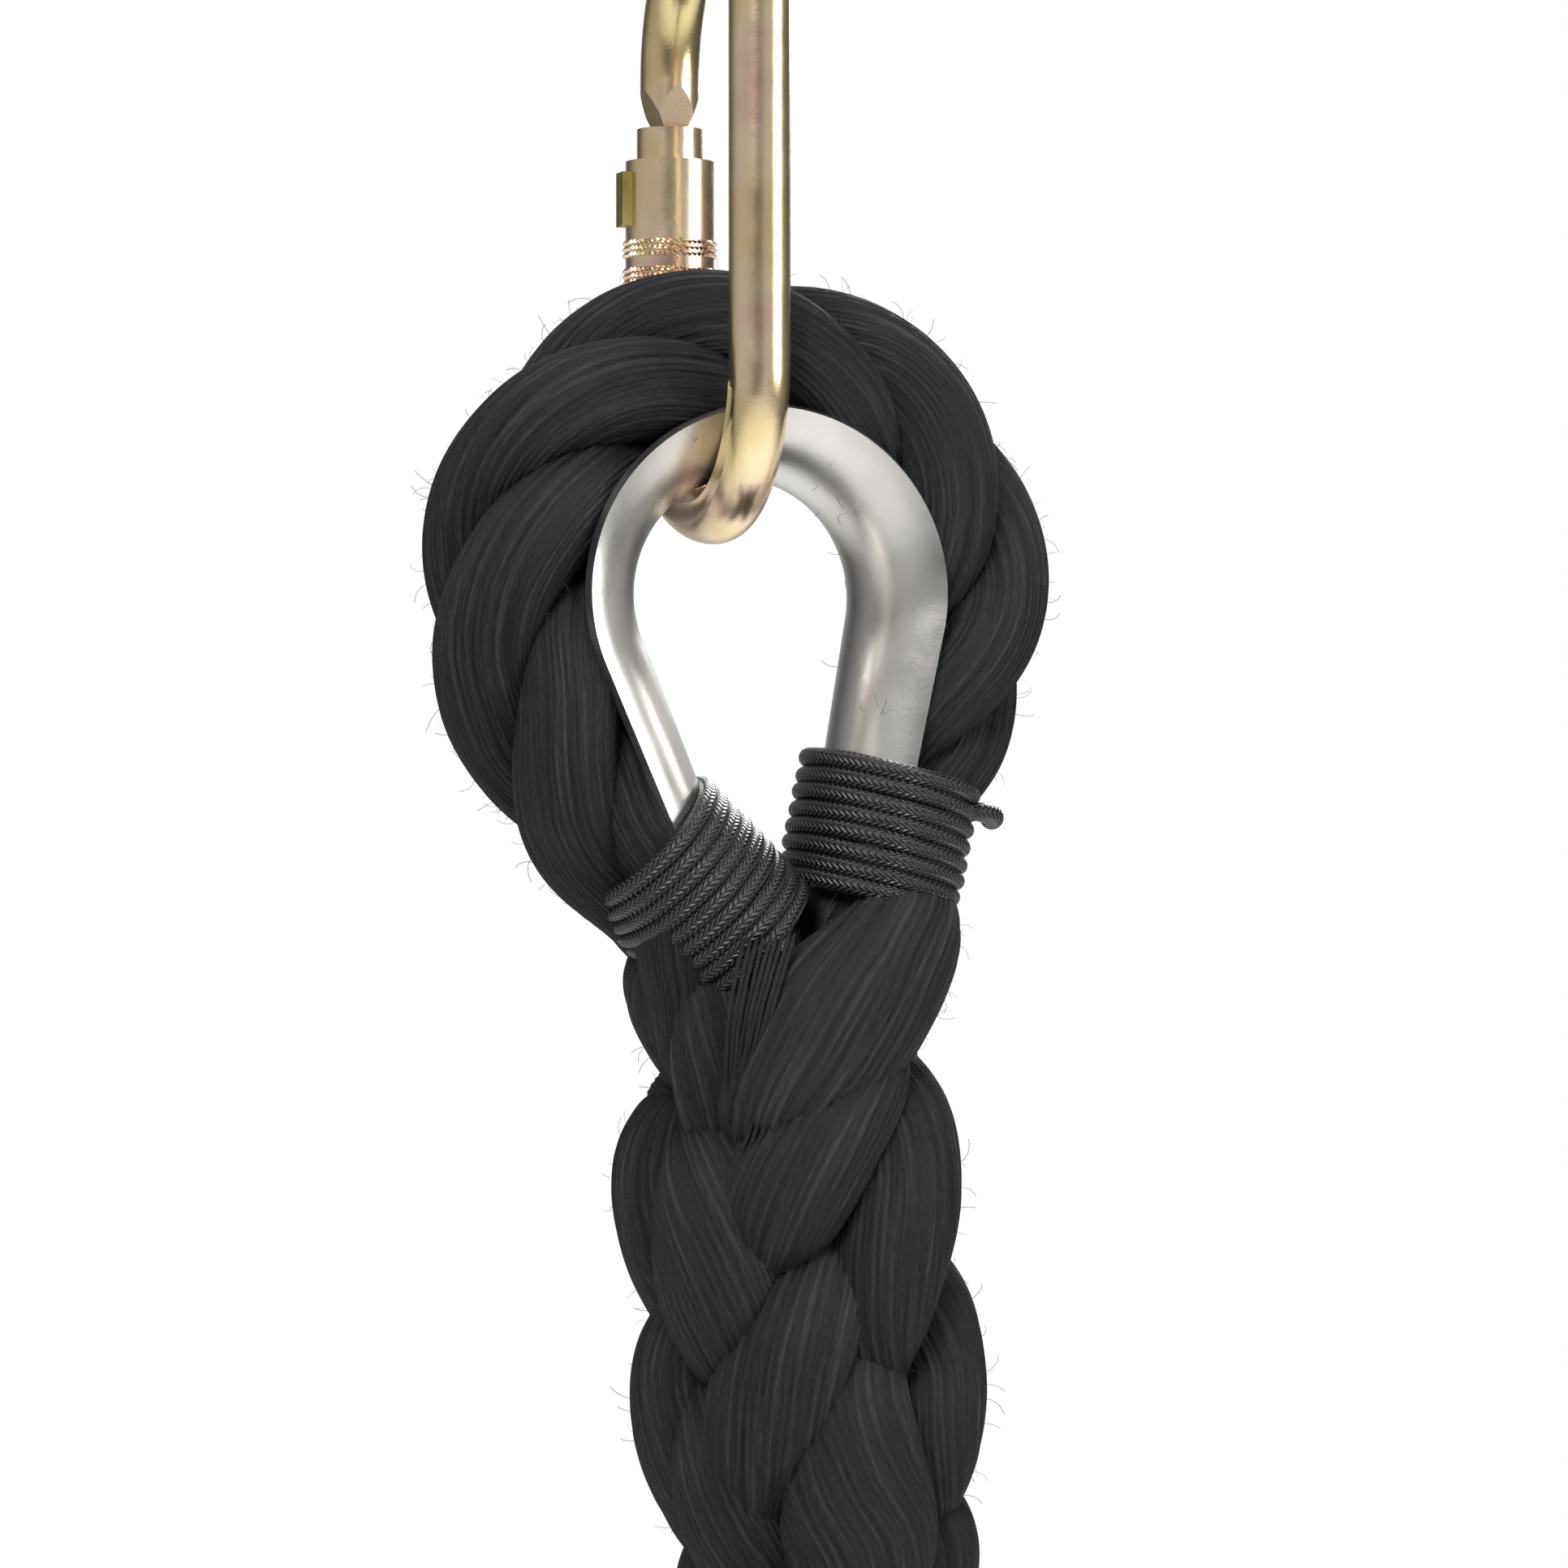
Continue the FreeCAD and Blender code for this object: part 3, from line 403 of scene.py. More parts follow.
# %% Braided cord and webbing
def braid_material(name, dark, light, pitch, column_width, roughness):
    """A braided cover: yarns cross in a herringbone along the cord's own UV map. Its colour holds
    painted shade in the gaps between the yarns and painted highlight on their crests.
    """
    material, tree, shader = principled(name, roughness)
    uv_socket = tree.nodes.new("ShaderNodeTexCoord").outputs["UV"]
    parts = tree.nodes.new("ShaderNodeSeparateXYZ")
    tree.links.new(uv_socket, parts.inputs[0])
    column = maths(tree, "DIVIDE", parts.outputs["Y"], column_width)
    across = maths(tree, "PINGPONG", column, 1.0)
    side = maths(tree, "MULTIPLY_ADD", across, 1.1, 0.0)
    along = maths(tree, "DIVIDE", parts.outputs["X"], pitch)
    wave = maths(tree, "SINE", maths(tree, "MULTIPLY", maths(tree, "ADD", along, side), 2 * math.pi))
    height = maths(tree, "MULTIPLY_ADD", wave, 0.5, 0.5)
    edge = maths(tree, "POWER", maths(tree, "SINE", maths(tree, "MULTIPLY", across, math.pi)), 0.4)
    weave_and_painted_shade = maths(tree, "MULTIPLY", height, edge)
    # the colour follows the weave's height: painted shade in the gaps, painted highlight on the crests
    colour = ramp_of(tree, weave_and_painted_shade, [(0.1, dark), (0.9, light)])
    tree.links.new(colour, shader.inputs["Base Color"])
    bump(tree, shader, weave_and_painted_shade, 0.0004, 0.9)
    return material


# the dark colour is painted shade between the yarns, the light one is painted highlight on their crests
seizing_braid = braid_material(
    "black_braided_cord", (0.001, 0.001, 0.0015), (0.050, 0.045, 0.054),
    pitch=0.0014, column_width=0.00118, roughness=0.34)
tie_weave = braid_material(
    "black_tie_webbing", (0.006, 0.006, 0.007), (0.045, 0.045, 0.05),
    pitch=0.003, column_width=0.0025, roughness=0.6)
print("woven covers:", seizing_braid.name, tie_weave.name)


# %% Shrunk plastic
def wrinkled_plastic(name):
    """Heat-shrunk sleeving: dull black with long soft wrinkles."""
    material, tree, shader = principled(name, 0.42)
    shader.inputs["Base Color"].default_value = (0.012, 0.012, 0.013, 1)
    place = tree.nodes.new("ShaderNodeTexCoord").outputs["Object"]
    wrinkles = noise(tree, scaled(tree, place, (60.0, 60.0, 60.0)), 1.0, 3.0, 0.6)
    tree.links.new(maths(tree, "MULTIPLY_ADD", wrinkles, 0.3, 0.28), shader.inputs["Roughness"])
    bump(tree, shader, wrinkles, 0.0012, 0.6)
    return material


shrink_black = wrinkled_plastic("heat_shrink_black")
print("plastic:", shrink_black.name)

# %% [markdown]
# ## Steel parts
# The forged, turned and pressed parts keep the meshes of their solids, which already have
# their rounds and reliefs. Only the finish is added: zinc outside, bare steel for pins.

# %% Finish the steel parts
STEEL_FINISH = {
    "carabiner_body": yellow_zinc, "gate_arm": yellow_zinc, "sleeve_collar": yellow_zinc,
    "sleeve_retaining_ring": yellow_zinc, "lock_sleeve": yellow_zinc, "lock_tab": olive_zinc,
    "gate_hinge_pin": bright_steel, "gate_latch_pin": bright_steel,
    "sleeve_guide_pin": bright_steel, "gate_plunger": bright_steel,
    "sleeve_spring": bright_steel, "gate_spring": bright_steel,
    "thimble": stainless,
}
for node_name, finish in STEEL_FINISH.items():
    mesh = frame["nodes"][node_name].data
    mesh.materials.clear()
    mesh.materials.append(finish)
print("finished", len(STEEL_FINISH), "steel nodes")

# %% [markdown]
# ## Sweeping a strand
# A strand is a closed tube whose section can be oval and can change along its length. Its
# yarns are real ridges: a row of small arches round the section that drift as the strand
# goes on, because the yarns are twisted. A few yarns sit a little proud of the rest.

# %% Lines
def unit(rows):
    """Rows scaled to unit length."""
    return rows / np.maximum(np.linalg.norm(rows, axis=-1, keepdims=True), 1e-12)


def tangents(points):
    """The direction of travel at each point of a line."""
    return unit(np.gradient(points, axis=0))


def lengths(points):
    """The distance run along a line at each of its points."""
    steps = np.linalg.norm(np.diff(points, axis=0), axis=1)
    return np.concatenate([[0.0], np.cumsum(steps)])


def smooth_line(rows, count):
    """A Catmull-Rom line through rows of any width, with evenly shared steps."""
    rows = np.asarray(rows, dtype=float)
    padded = np.vstack([2 * rows[0] - rows[1], rows, 2 * rows[-1] - rows[-2]])
    spans = len(rows) - 1
    place = np.linspace(0, spans - 1e-9, count)
    index = place.astype(int)
    t = (place - index)[:, None]
    a, b, c, d = (padded[index + shift] for shift in range(4))
    return 0.5 * (2 * b + (c - a) * t + (2 * a - 5 * b + 4 * c - d) * t ** 2
                  + (3 * b - a - 3 * c + d) * t ** 3)


def rounded_ends(count, power, least):
    """Shares of the full size along a line: one in the middle, rounded off at both ends."""
    return np.sqrt(np.clip(1 - np.linspace(-1, 1, count) ** power, least, 1))


print("line helpers ready")

# %% Yarn ridges and the sweep
YARN_UNEVENNESS = 0.35
ARCH_BASE = 0.6


def ridges(angle, run, yarns, twist, depth, seed):
    """Height of the yarns: arches round the section that drift along it."""
    rng = np.random.default_rng(seed)
    slow_wander = 0.35 * np.sin(run[:, None] * 90 + 2 * angle[None, :])
    quick_wander = 0.25 * np.sin(run[:, None] * 210 + seed)
    wander = slow_wander + quick_wander
    phase = yarns * angle[None, :] / (2 * math.pi) + twist * run[:, None] + wander
    index = np.floor(phase).astype(int) % yarns
    arch = 1 - (2 * (phase % 1.0) - 1) ** 2
    lift = rng.normal(0, YARN_UNEVENNESS, yarns)[index]
    return depth * (arch - ARCH_BASE + lift)


def sweep(name, centre, side, rise, half_side, half_rise, around, yarns, twist, depth, seed,
          closed=False, spin=0.0):
    """A closed tube with yarn ridges. Side and rise are the section's two axes. Spin is the
    section's own turns a metre, and the yarns and the mesh turn with it: rope yarns turn
    against the lay of the strands."""
    angle = np.linspace(0, 2 * math.pi, around, endpoint=False)
    run = lengths(centre)
    spun = angle[None, :] - 2 * math.pi * spin * run[:, None]
    cos, sin = np.cos(spun)[:, :, None], np.sin(spun)[:, :, None]
    wide, tall = half_side[:, None, None], half_rise[:, None, None]
    points = centre[:, None] + side[:, None] * wide * cos + rise[:, None] * tall * sin
    outward = unit(side[:, None] * tall * cos + rise[:, None] * wide * sin)
    if depth:
        points = points + outward * ridges(angle, run, yarns, twist, depth, seed)[:, :, None]
    rings = len(centre)
    vertices = points.reshape(-1, 3)
    ring = np.arange(rings if closed else rings - 1)
    i, j = np.meshgrid(ring, np.arange(around), indexing="ij")
    after, beside = (i + 1) % rings, (j + 1) % around
    quads = np.stack([i * around + j, i * around + beside,
                      after * around + beside, after * around + j], -1)
    faces = quads.reshape(-1, 4).tolist()
    girth = 2 * math.pi * np.sqrt((half_side ** 2 + half_rise ** 2) / 2).mean()
    step = girth / around
    u0, u1 = run[i], run[np.minimum(i + 1, rings - 1)]
    uv_rows = np.stack([np.stack([u0, j * step], -1), np.stack([u0, (j + 1) * step], -1),
                        np.stack([u1, (j + 1) * step], -1), np.stack([u1, j * step], -1)], 2).reshape(-1, 2)
    if not closed:
        count = len(vertices)
        vertices = np.vstack([vertices, centre[0], centre[-1]])
        last = (rings - 1) * around
        for k in range(around):
            following = (k + 1) % around
            faces.append([following, k, count])
            faces.append([last + k, last + following, count + 1])
        uv_rows = np.vstack([uv_rows, np.zeros((6 * around, 2))])
    mesh = bpy.data.meshes.new(name)
    mesh.from_pydata(vertices.tolist(), [], faces)
    layer = mesh.uv_layers.new(name="UVMap")
    layer.data.foreach_set("uv", uv_rows.astype(np.float32).ravel())
    mesh.shade_smooth()
    piece = bpy.data.objects.new(name, mesh)
    bpy.context.collection.objects.link(piece)
    outward_check(mesh, centre)
    return piece


def outward_check(mesh, centre):
    """Turns the faces round if the closed tube came out inside out."""
    count = len(mesh.polygons)
    normals = np.empty(count * 3)
    centres = np.empty(count * 3)
    mesh.polygons.foreach_get("normal", normals)
    mesh.polygons.foreach_get("center", centres)
    areas = np.empty(count)
    mesh.polygons.foreach_get("area", areas)
    from_middle = centres.reshape(-1, 3) - centre.mean(axis=0)
    volume = (normals.reshape(-1, 3) * from_middle).sum(axis=1) @ areas
    if volume < 0:
        mesh.flip_normals()


print("sweep helper ready")


# %% Dress a piece
def dress(piece, material, body, slot, *nodes):
    """Gives a piece its finish and its body, and hides the solids that it stands for. The slot is not used.
    """
    piece.data.materials.clear()
    piece.data.materials.append(material)
    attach(piece, body)
    if nodes:
        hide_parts(*nodes)
    return piece


# %% [markdown]
# ## The laid rope round the thimble
# Three strands wind right-handed round one centre line. Two seizings squeeze the legs, so
# the whole section is drawn in across the eye and let out through it.

# %% One strand of a laid rope
ROPE_LAY = 0.112
STRAND_PLACE = 0.0097
YARN_SPIN = 8.6
YARN_TWIST = 5.0
YARN_DEPTH = 0.00040
STRAND_HALF = 0.0098
STRAND_WIDENING = 1.05


def strand_of_rope(name, line, side, phase, seed, around=212, yarns=53, depth=YARN_DEPTH,
                   squeeze=None):
    """One of a rope's three strands. Squeeze draws it in across the eye and lets it out
    through it, at each point."""
    forward = tangents(line)
    side = unit(side - forward * (side * forward).sum(axis=1, keepdims=True))
    rise = np.cross(forward, side)
    turn = phase + 2 * math.pi * lengths(line) / ROPE_LAY
    out = side * np.cos(turn)[:, None] + rise * np.sin(turn)[:, None]
    centre = line + out * STRAND_PLACE
    if squeeze is not None:
        offset = centre - line
        across, through = squeeze
        centre = (line + side * ((offset * side).sum(axis=1) * across)[:, None]
                  + rise * ((offset * rise).sum(axis=1) * through)[:, None])
    heading = tangents(centre)
    out = unit(out - heading * (out * heading).sum(axis=1, keepdims=True))
    beside = np.cross(heading, out)
    half_out = np.full(len(line), STRAND_HALF)
    half_beside = np.full(len(line), STRAND_HALF * STRAND_WIDENING)
    if squeeze is not None:
        lean_in = np.abs((out * side).sum(axis=1))
        half_out = STRAND_HALF * (across * lean_in + through * (1 - lean_in))
        half_beside = STRAND_HALF * STRAND_WIDENING * (across * (1 - lean_in) + through * lean_in)
    return sweep(name, centre, out, beside, half_out, half_beside, around, yarns, YARN_TWIST, depth, seed,
                 spin=YARN_SPIN)


print("one turn of the lay is", ROPE_LAY, "m long")

# %% Centre line round the thimble
# the arc over the thimble: its centre (u, v), and how far past level it runs, in degrees
BIGHT_CENTRE = (-1.0, -0.8)
BIGHT_RADIUS = 45.3
BIGHT_OVERRUN = 22
bight_rows = []
for degrees in np.linspace(180 + BIGHT_OVERRUN, -BIGHT_OVERRUN, 15):
    turn = math.radians(degrees)
    bight_rows.append((BIGHT_RADIUS * math.cos(turn) + BIGHT_CENTRE[0], 0.0,
                       BIGHT_CENTRE[1] - BIGHT_RADIUS * math.sin(turn)))
# rows down each leg: u, y, v, draw across, let out through
LEFT_ROWS = [(-38.5, 0, 30.0, 0.93, 1.0), (-32.5, 0, 43.0, 0.84, 1.0), (-21.5, 0, 57.0, 0.70, 1.03),
             (-16.0, 0, 70.0, 0.70, 1.04), (-13.0, 0, 86.0, 0.72, 1.0), (-10.0, 0, 104.0, 0.6, 0.8)]
RIGHT_ROWS = [(34.5, 0, 30.0, 0.92, 0.95), (28.5, 0, 41.0, 0.74, 0.92), (24.5, 0, 52.0, 0.64, 1.0),
              (21.0, 0, 63.0, 0.70, 1.0), (17.0, 0, 76.0, 0.80, 1.0), (12.0, 0, 92.0, 0.78, 0.9),
              (9.0, 0, 106.0, 0.7, 0.8)]
eye_rows = list(reversed(LEFT_ROWS))
eye_rows += [(*row, 1.0, 1.0) for row in bight_rows]
eye_rows += RIGHT_ROWS
eye_line = smooth_line(eye_rows, 360)
eye_points = in_eye(eye_line[:, :3])
between_legs = in_eye([(0, 0, 30.0)])[0]
eye_side = unit(eye_points - between_legs)
eye_side[:, 1] = 0
print("rope round the eye is", round(float(lengths(eye_points)[-1]), 3), "m long")

# %% Three strands round the eye
EYE_PHASE = math.radians(40.0)
eye_nodes = (("rope_bight",), ("rope_leg_left",), ("rope_leg_right",))
for index in range(3):
    strand = strand_of_rope(
        f"eye_strand_{index + 1}", eye_points, eye_side, EYE_PHASE + index * 2 * math.pi / 3,
        11 + index, squeeze=(eye_line[:, 3], eye_line[:, 4]))
    dress(strand, rope_yarn, "eye", "rope", *eye_nodes[index])
    print(strand.name, len(strand.data.polygons), "faces")

# %% [markdown]
# ## The core of the splice, the fall and the coil
# Below the throat the rope itself runs on inside the tucks. Where the splice ends it is a
# free cord: it falls, turns into a coil of nearly two turns laid side by side, and ends in
# a shrunk cap. Its line is one NURBS spline through given points and the coil's own.

# %% Route of the free rope
COIL_CENTRE = (-0.0134, -0.6882)
COIL_RADIUS = 0.209
COIL_START = 35.0
COIL_END = 691.0
COIL_LAYER = 0.019
COIL_STEPS = 33
CROSSING_START = 350.0
CROSSING_SPAN = 40.0
FALL_ROUTE = [(27.8, 0, -384.0), (31.3, -3, -424.0), (46.5, -9, -462.0), (73.5, -15, -493.5),
              (106.5, -19, -517.0)]


def layer_place(angle):
    """How far through the coil the rope lies: it crosses to the rear layer near the top."""
    share = min(max((angle - CROSSING_START) / CROSSING_SPAN, 0.0), 1.0)
    return COIL_LAYER * (2 * share * share * (3 - 2 * share) - 1)


route = [tuple(value * MM for value in point) for point in FALL_ROUTE]
step_angle = (COIL_END - COIL_START) / COIL_STEPS
# the spline runs inside its control points, so they stand a little further out
outer = COIL_RADIUS / (0.75 + 0.25 * math.cos(math.radians(step_angle)))
for index in range(1, COIL_STEPS + 1):
    angle = COIL_START + index * step_angle
    turn = math.radians(angle)
    radius = outer if index < COIL_STEPS else COIL_RADIUS
    route.append((COIL_CENTRE[0] + radius * math.sin(turn), layer_place(angle),
                  COIL_CENTRE[1] + radius * math.cos(turn)))
print("the route has", len(route), "control points")


# %% Length of the free rope
def spline_points(name, points, resolution=24):
    """Points along the NURBS spline whose control points are given."""
    curve = bpy.data.curves.new(name, "CURVE")
    curve.dimensions = "3D"
    spline = curve.splines.new("NURBS")
    spline.points.add(len(points) - 1)
    for control, place in zip(spline.points, points):
        control.co = (*place, 1.0)
    spline.order_u = 3
    spline.use_endpoint_u = True
    spline.resolution_u = resolution
    holder = bpy.data.objects.new(name, curve)
    bpy.context.collection.objects.link(holder)
    depsgraph = bpy.context.evaluated_depsgraph_get()
    line = bpy.data.meshes.new_from_object(holder.evaluated_get(depsgraph))
    found = np.array([vertex.co for vertex in line.vertices])
    bpy.data.objects.remove(holder)
    return found


def resample(points, count):
    """The same line with its points spaced evenly."""
    run = lengths(points)
    keep = np.concatenate([[True], np.diff(run) > 1e-9])
    even = np.linspace(0, run[-1], count)
    return np.stack([np.interp(even, run[keep], points[keep, axis]) for axis in range(3)], axis=1)


FREE_POINTS = 850
free_line = resample(spline_points("free_rope_route", route), FREE_POINTS)


# %% Free rope and splice core
def carried_side(line, start):
    """A side direction carried along a line without twisting."""
    forward = tangents(line)
    sides = [unit(np.asarray(start, dtype=float) - forward[0] * np.dot(start, forward[0]))]
    for direction in forward[1:]:
        side = sides[-1] - direction * np.dot(sides[-1], direction)
        sides.append(side / np.linalg.norm(side))
    return np.array(sides)


def joined(name, parts):
    """Several objects made into one mesh object."""
    bpy.ops.object.select_all(action="DESELECT")
    for part in parts:
        part.select_set(True)
    bpy.context.view_layer.objects.active = parts[0]
    bpy.ops.object.join()
    parts[0].name = name
    return parts[0]


CORE_POINTS = 220
core_rows = [(2.0, 0, 80.0), (-1.0, 0, 100.0), (-2.0, 0, 130.0), (-1.5, 0, 165.0), (0.0, 0, 200.0)]
core_line = np.vstack([in_eye(core_rows), [route[0]]])
core_line = resample(smooth_line(core_line, 200), CORE_POINTS)
core_side = carried_side(core_line, (1.0, 0.0, 0.0))
core_turn = 2 * math.pi * float(lengths(core_line)[-1]) / ROPE_LAY
free_side = carried_side(free_line, core_side[-1])
core_strands = []
free_strands = []
for index in range(3):
    phase = index * 2 * math.pi / 3
    core_strands.append(strand_of_rope(
        f"core_{index}", core_line, core_side, phase, 31 + index, around=80, yarns=40))
    free_strands.append(strand_of_rope(
        f"free_{index}", free_line, free_side, phase + core_turn, 41 + index, around=36, yarns=36,
        depth=0.0))
splice_core = joined("splice_core", core_strands)
dress(splice_core, rope_yarn, "eye", "rope", "rope_splice", "splice_taper")
free_rope = joined("free_rope", free_strands)
dress(free_rope, coil_yarn, "eye", "rope", "rope_fall", "rope_coil")
print("core", len(splice_core.data.polygons), "free rope", len(free_rope.data.polygons), "faces")

# %% [markdown]
# ## Ties and end cap
# Three bands of webbing hold the coil, and heat-shrunk sleeving keeps the rope's end from
# fraying. A band is one closed sweep with a flat section, and the cap is a sweep with a dome.

# %% Ties
TIE_INSIDE = 0.0192
TIE_STAND_OFF = 0.0013
TIE_HALF_WIDTH = 0.0125
TIE_HALF_THICKNESS = 0.0011
TIE_POINTS = 96


def coil_frame(angle):
    """The outward and forward directions at a clockwise angle from the coil's top."""
    turn = math.radians(angle)
    outward = np.array([math.sin(turn), 0.0, math.cos(turn)])
    forward = np.array([math.cos(turn), 0.0, -math.sin(turn)])
    place = np.array([COIL_CENTRE[0], 0.0, COIL_CENTRE[1]]) + outward * COIL_RADIUS
    return place, outward, forward


def make_tie(label, angle, seed):
    """A band of webbing round both layers of the coil."""
    place, outward, forward = coil_frame(angle)
    turn = np.linspace(0, 2 * math.pi, TIE_POINTS, endpoint=False)
    reach = TIE_INSIDE + TIE_STAND_OFF
    flat = np.clip(np.cos(turn) * 3.0, -1, 1) * COIL_LAYER
    centre = (place + THROUGH * (flat + np.cos(turn) * reach)[:, None]
              + outward * (np.sin(turn) * reach)[:, None])
    centre = np.vstack([centre, centre[:1]])
    heading = tangents(centre)
    side = np.tile(forward, (len(centre), 1))
    rise = np.cross(heading, side)
    half_width = np.full(TIE_POINTS, TIE_HALF_WIDTH)
    half_thickness = np.full(TIE_POINTS, TIE_HALF_THICKNESS)
    band = sweep(label + "_webbing", centre[:-1], side[:-1], rise[:-1], half_width, half_thickness,
                 32, 12, 0.0, 0.0, seed, closed=True)
    return dress(band, tie_weave, "eye", "tie_webbing", label)


ties = [make_tie("coil_tie_right", 75, 1), make_tie("coil_tie_bottom", 180, 2),
        make_tie("coil_tie_left", 285, 3)]
print("ties:", [tie.name for tie in ties])

# %% End cap and the free cord
CAP_OVERLAP = 0.004
CAP_BARREL = 0.050
CAP_DOME = 0.005
CAP_HALF = 0.0193
CAP_STAND_OFF = 0.0008
CAP_RIPPLE = 0.012
CAP_RIPPLE_TURNS = 700
BARREL_POINTS = 60
dome_turn = np.linspace(0.1, 1.5, 12)
place, outward, forward = coil_frame(COIL_END - 360)
cap_run = np.concatenate([np.linspace(-CAP_OVERLAP, CAP_BARREL, BARREL_POINTS),
                          CAP_BARREL + CAP_DOME * np.sin(dome_turn)])
cap_line = place + THROUGH * (COIL_LAYER + CAP_STAND_OFF) + forward * cap_run[:, None]
cap_round = np.concatenate([np.ones(BARREL_POINTS), np.cos(dome_turn)])
cap_ripple = CAP_RIPPLE * np.sin(cap_run * CAP_RIPPLE_TURNS) * (cap_run < CAP_BARREL)
cap_half = CAP_HALF * cap_round * (1 + cap_ripple)
cap_rings = len(cap_run)
rope_cap = sweep("rope_end_cap_shrunk", cap_line, np.tile(outward, (cap_rings, 1)),
                 np.tile(THROUGH, (cap_rings, 1)), cap_half, cap_half, 72, 6, 40.0, 0.0006, 5)
dress(rope_cap, shrink_black, "eye", "heat_shrink", "rope_end_cap")
print("cap:", rope_cap.name)

# %% [markdown]
# ## Tucked strands of the splice
# The rope's own end is unlaid, and each strand is tucked over one and under one, so the
# splice shows as fat lobes that dive under each other. Each lobe is one sweep with listed
# places and half sizes: fat in the middle, thin where it goes under.

# %% Rows of the splice lobes
SPLICE_AXIS = -4.0
SPLICE_DRAW_IN = 0.87
SPLICE_FLATTENING = 0.9
LOBE_DRAW_IN = 0.93
LOBE_RINGS = 110
LOBE_TWIST = 6.0
LOBE_YARN_DEPTH = 0.00042
# a lobe's section axes are left-handed, so its yarns need the other sign to turn one way
LOBE_SPIN = -5.5
BACK_DROP = 5
BACK_THROAT = 0.55
# rows of each lobe: u, y, v, half width, half thickness
LOBES = {
    "throat_fan": [(29, -3, 62, 11, 8), (28, -11, 70, 16, 11), (16, -18, 79, 18.5, 12),
                   (1, -21, 88, 18.5, 12), (-11, -19, 98, 14, 11), (-15, -12, 109, 7, 7)],
    "throat_left": [(-12, -2, 66, 7, 9), (-17, -8, 78, 9, 10), (-20, -10, 91, 10, 10),
                    (-21, -9, 104, 8, 8), (-19, -5, 114, 5, 5)],
    "upper_centre": [(18, -10, 92, 9, 8), (9, -17, 99, 13, 11), (-4, -21, 109, 14, 12),
                     (-14, -20, 120, 13.5, 12), (-18, -15, 130, 9, 9), (-18, -8, 138, 5, 5)],
    "upper_right": [(17, -3, 92, 7, 7), (21, -10, 106, 12, 11), (18, -16, 121, 14.5, 12),
                    (10, -19, 136, 14, 12), (5, -17, 149, 11, 11), (6, -10, 161, 6, 7)],
    "upper_left": [(-18, -2, 100, 7, 7), (-24, -10, 113, 13, 11), (-26, -13, 127, 15, 12),
                   (-25, -12, 141, 13, 12), (-20, -6, 155, 7, 8)],
    "middle_centre": [(2, -13, 128, 8, 8), (-9, -20, 141, 13, 12), (-18, -20, 155, 14, 12),
                      (-23, -15, 170, 12, 11), (-24, -8, 185, 7, 7)],
    "middle_right": [(17, 3, 130, 7, 8), (23, -4, 144, 11, 11), (23, -8, 158, 13.5, 12),
                     (18, -12, 171, 13, 12), (14, -9, 186, 9, 9)],
    "lower_centre": [(7, -10, 146, 8, 8), (0, -18, 158, 13, 12), (-3, -22, 172, 16, 13),
                     (-3, -22, 186, 17, 13), (-6, -19, 199, 13, 11), (-9, -11, 211, 7, 7)],
    "lower_left": [(-20, -1, 150, 7, 8), (-26, -8, 164, 13, 11), (-27, -9, 178, 13, 12),
                   (-23, -7, 193, 11, 10), (-17, -3, 206, 6, 7)],
    "lower_right": [(15, -2, 178, 8, 8), (18, -7, 191, 12, 11), (13, -9, 205, 11, 10),
                    (6, -8, 218, 7, 7)],
    "tail_left": [(-13, -9, 198, 9, 9), (-18, -14, 211, 11, 9), (-15, -16, 225, 10, 8),
                  (-8, -15, 239, 7.5, 6), (-2, -12, 252, 4, 4)],
    "tail_right": [(15, -5, 204, 9, 9), (15, -12, 217, 10.5, 8.5), (9, -16, 231, 9, 7),
                   (3, -16, 245, 6.5, 5.5), (-1, -13, 258, 4, 4)],
}
print("rows for", len(LOBES), "lobes a side")


# %% Splice lobes
def make_lobe(name, rows, seed, around, yarns):
    """One tucked strand, widest along the splice's surface."""
    line = smooth_line(rows, LOBE_RINGS)
    line[:, 0] = SPLICE_AXIS + SPLICE_DRAW_IN * (line[:, 0] - SPLICE_AXIS)
    line[:, 3:] *= LOBE_DRAW_IN
    centre = in_eye(line[:, :3])
    heading = tangents(centre)
    axis = in_eye([(SPLICE_AXIS, 0.0, v) for v in line[:, 2]])
    outward = centre - axis
    outward = unit(outward - heading * (outward * heading).sum(axis=1, keepdims=True))
    across = np.cross(heading, outward)
    half_sizes = line[:, 3:] * MM * rounded_ends(LOBE_RINGS, 20, 0.01)[:, None]
    return sweep(name, centre, across, outward, half_sizes[:, 0], half_sizes[:, 1],
                 around, yarns, LOBE_TWIST, LOBE_YARN_DEPTH, seed, spin=LOBE_SPIN)


splice_pieces = []
for seed, (label, rows) in enumerate(LOBES.items()):
    front_rows = [(u, SPLICE_FLATTENING * y, v, wide, thick) for u, y, v, wide, thick in rows]
    # behind, a row is the front's turned half round and a little lower, with a smaller throat
    tuck = BACK_THROAT if label == "throat_fan" else 1.0
    narrow = 0.4 + 0.6 * tuck
    back_rows = [(SPLICE_AXIS - tuck * (u - SPLICE_AXIS), -SPLICE_FLATTENING * y, v + BACK_DROP,
                  wide * narrow, thick) for u, y, v, wide, thick in rows]
    sides = (("front_", front_rows, 180, 45), ("back_", back_rows, 112, 37))
    for prefix, side_rows, around, yarns in sides:
        piece = make_lobe(prefix + label, side_rows, 60 + seed, around, yarns)
        dress(piece, rope_yarn, "eye", "rope", "rope_splice")
        splice_pieces.append(piece)
print("splice lobes:", len(splice_pieces))

# %% [markdown]
# ## Loose yarns
# Where the strands were unlaid, some yarns have come free and lie over the throat and the
# waist of the splice. Each is a thin sweep beside the last, with a little chance in its place.

# %% Loose yarns on the splice
YARNS_IN_BUNDLE = 9
LOOSE_POINTS = 46
LOOSE_HALF = 0.00048
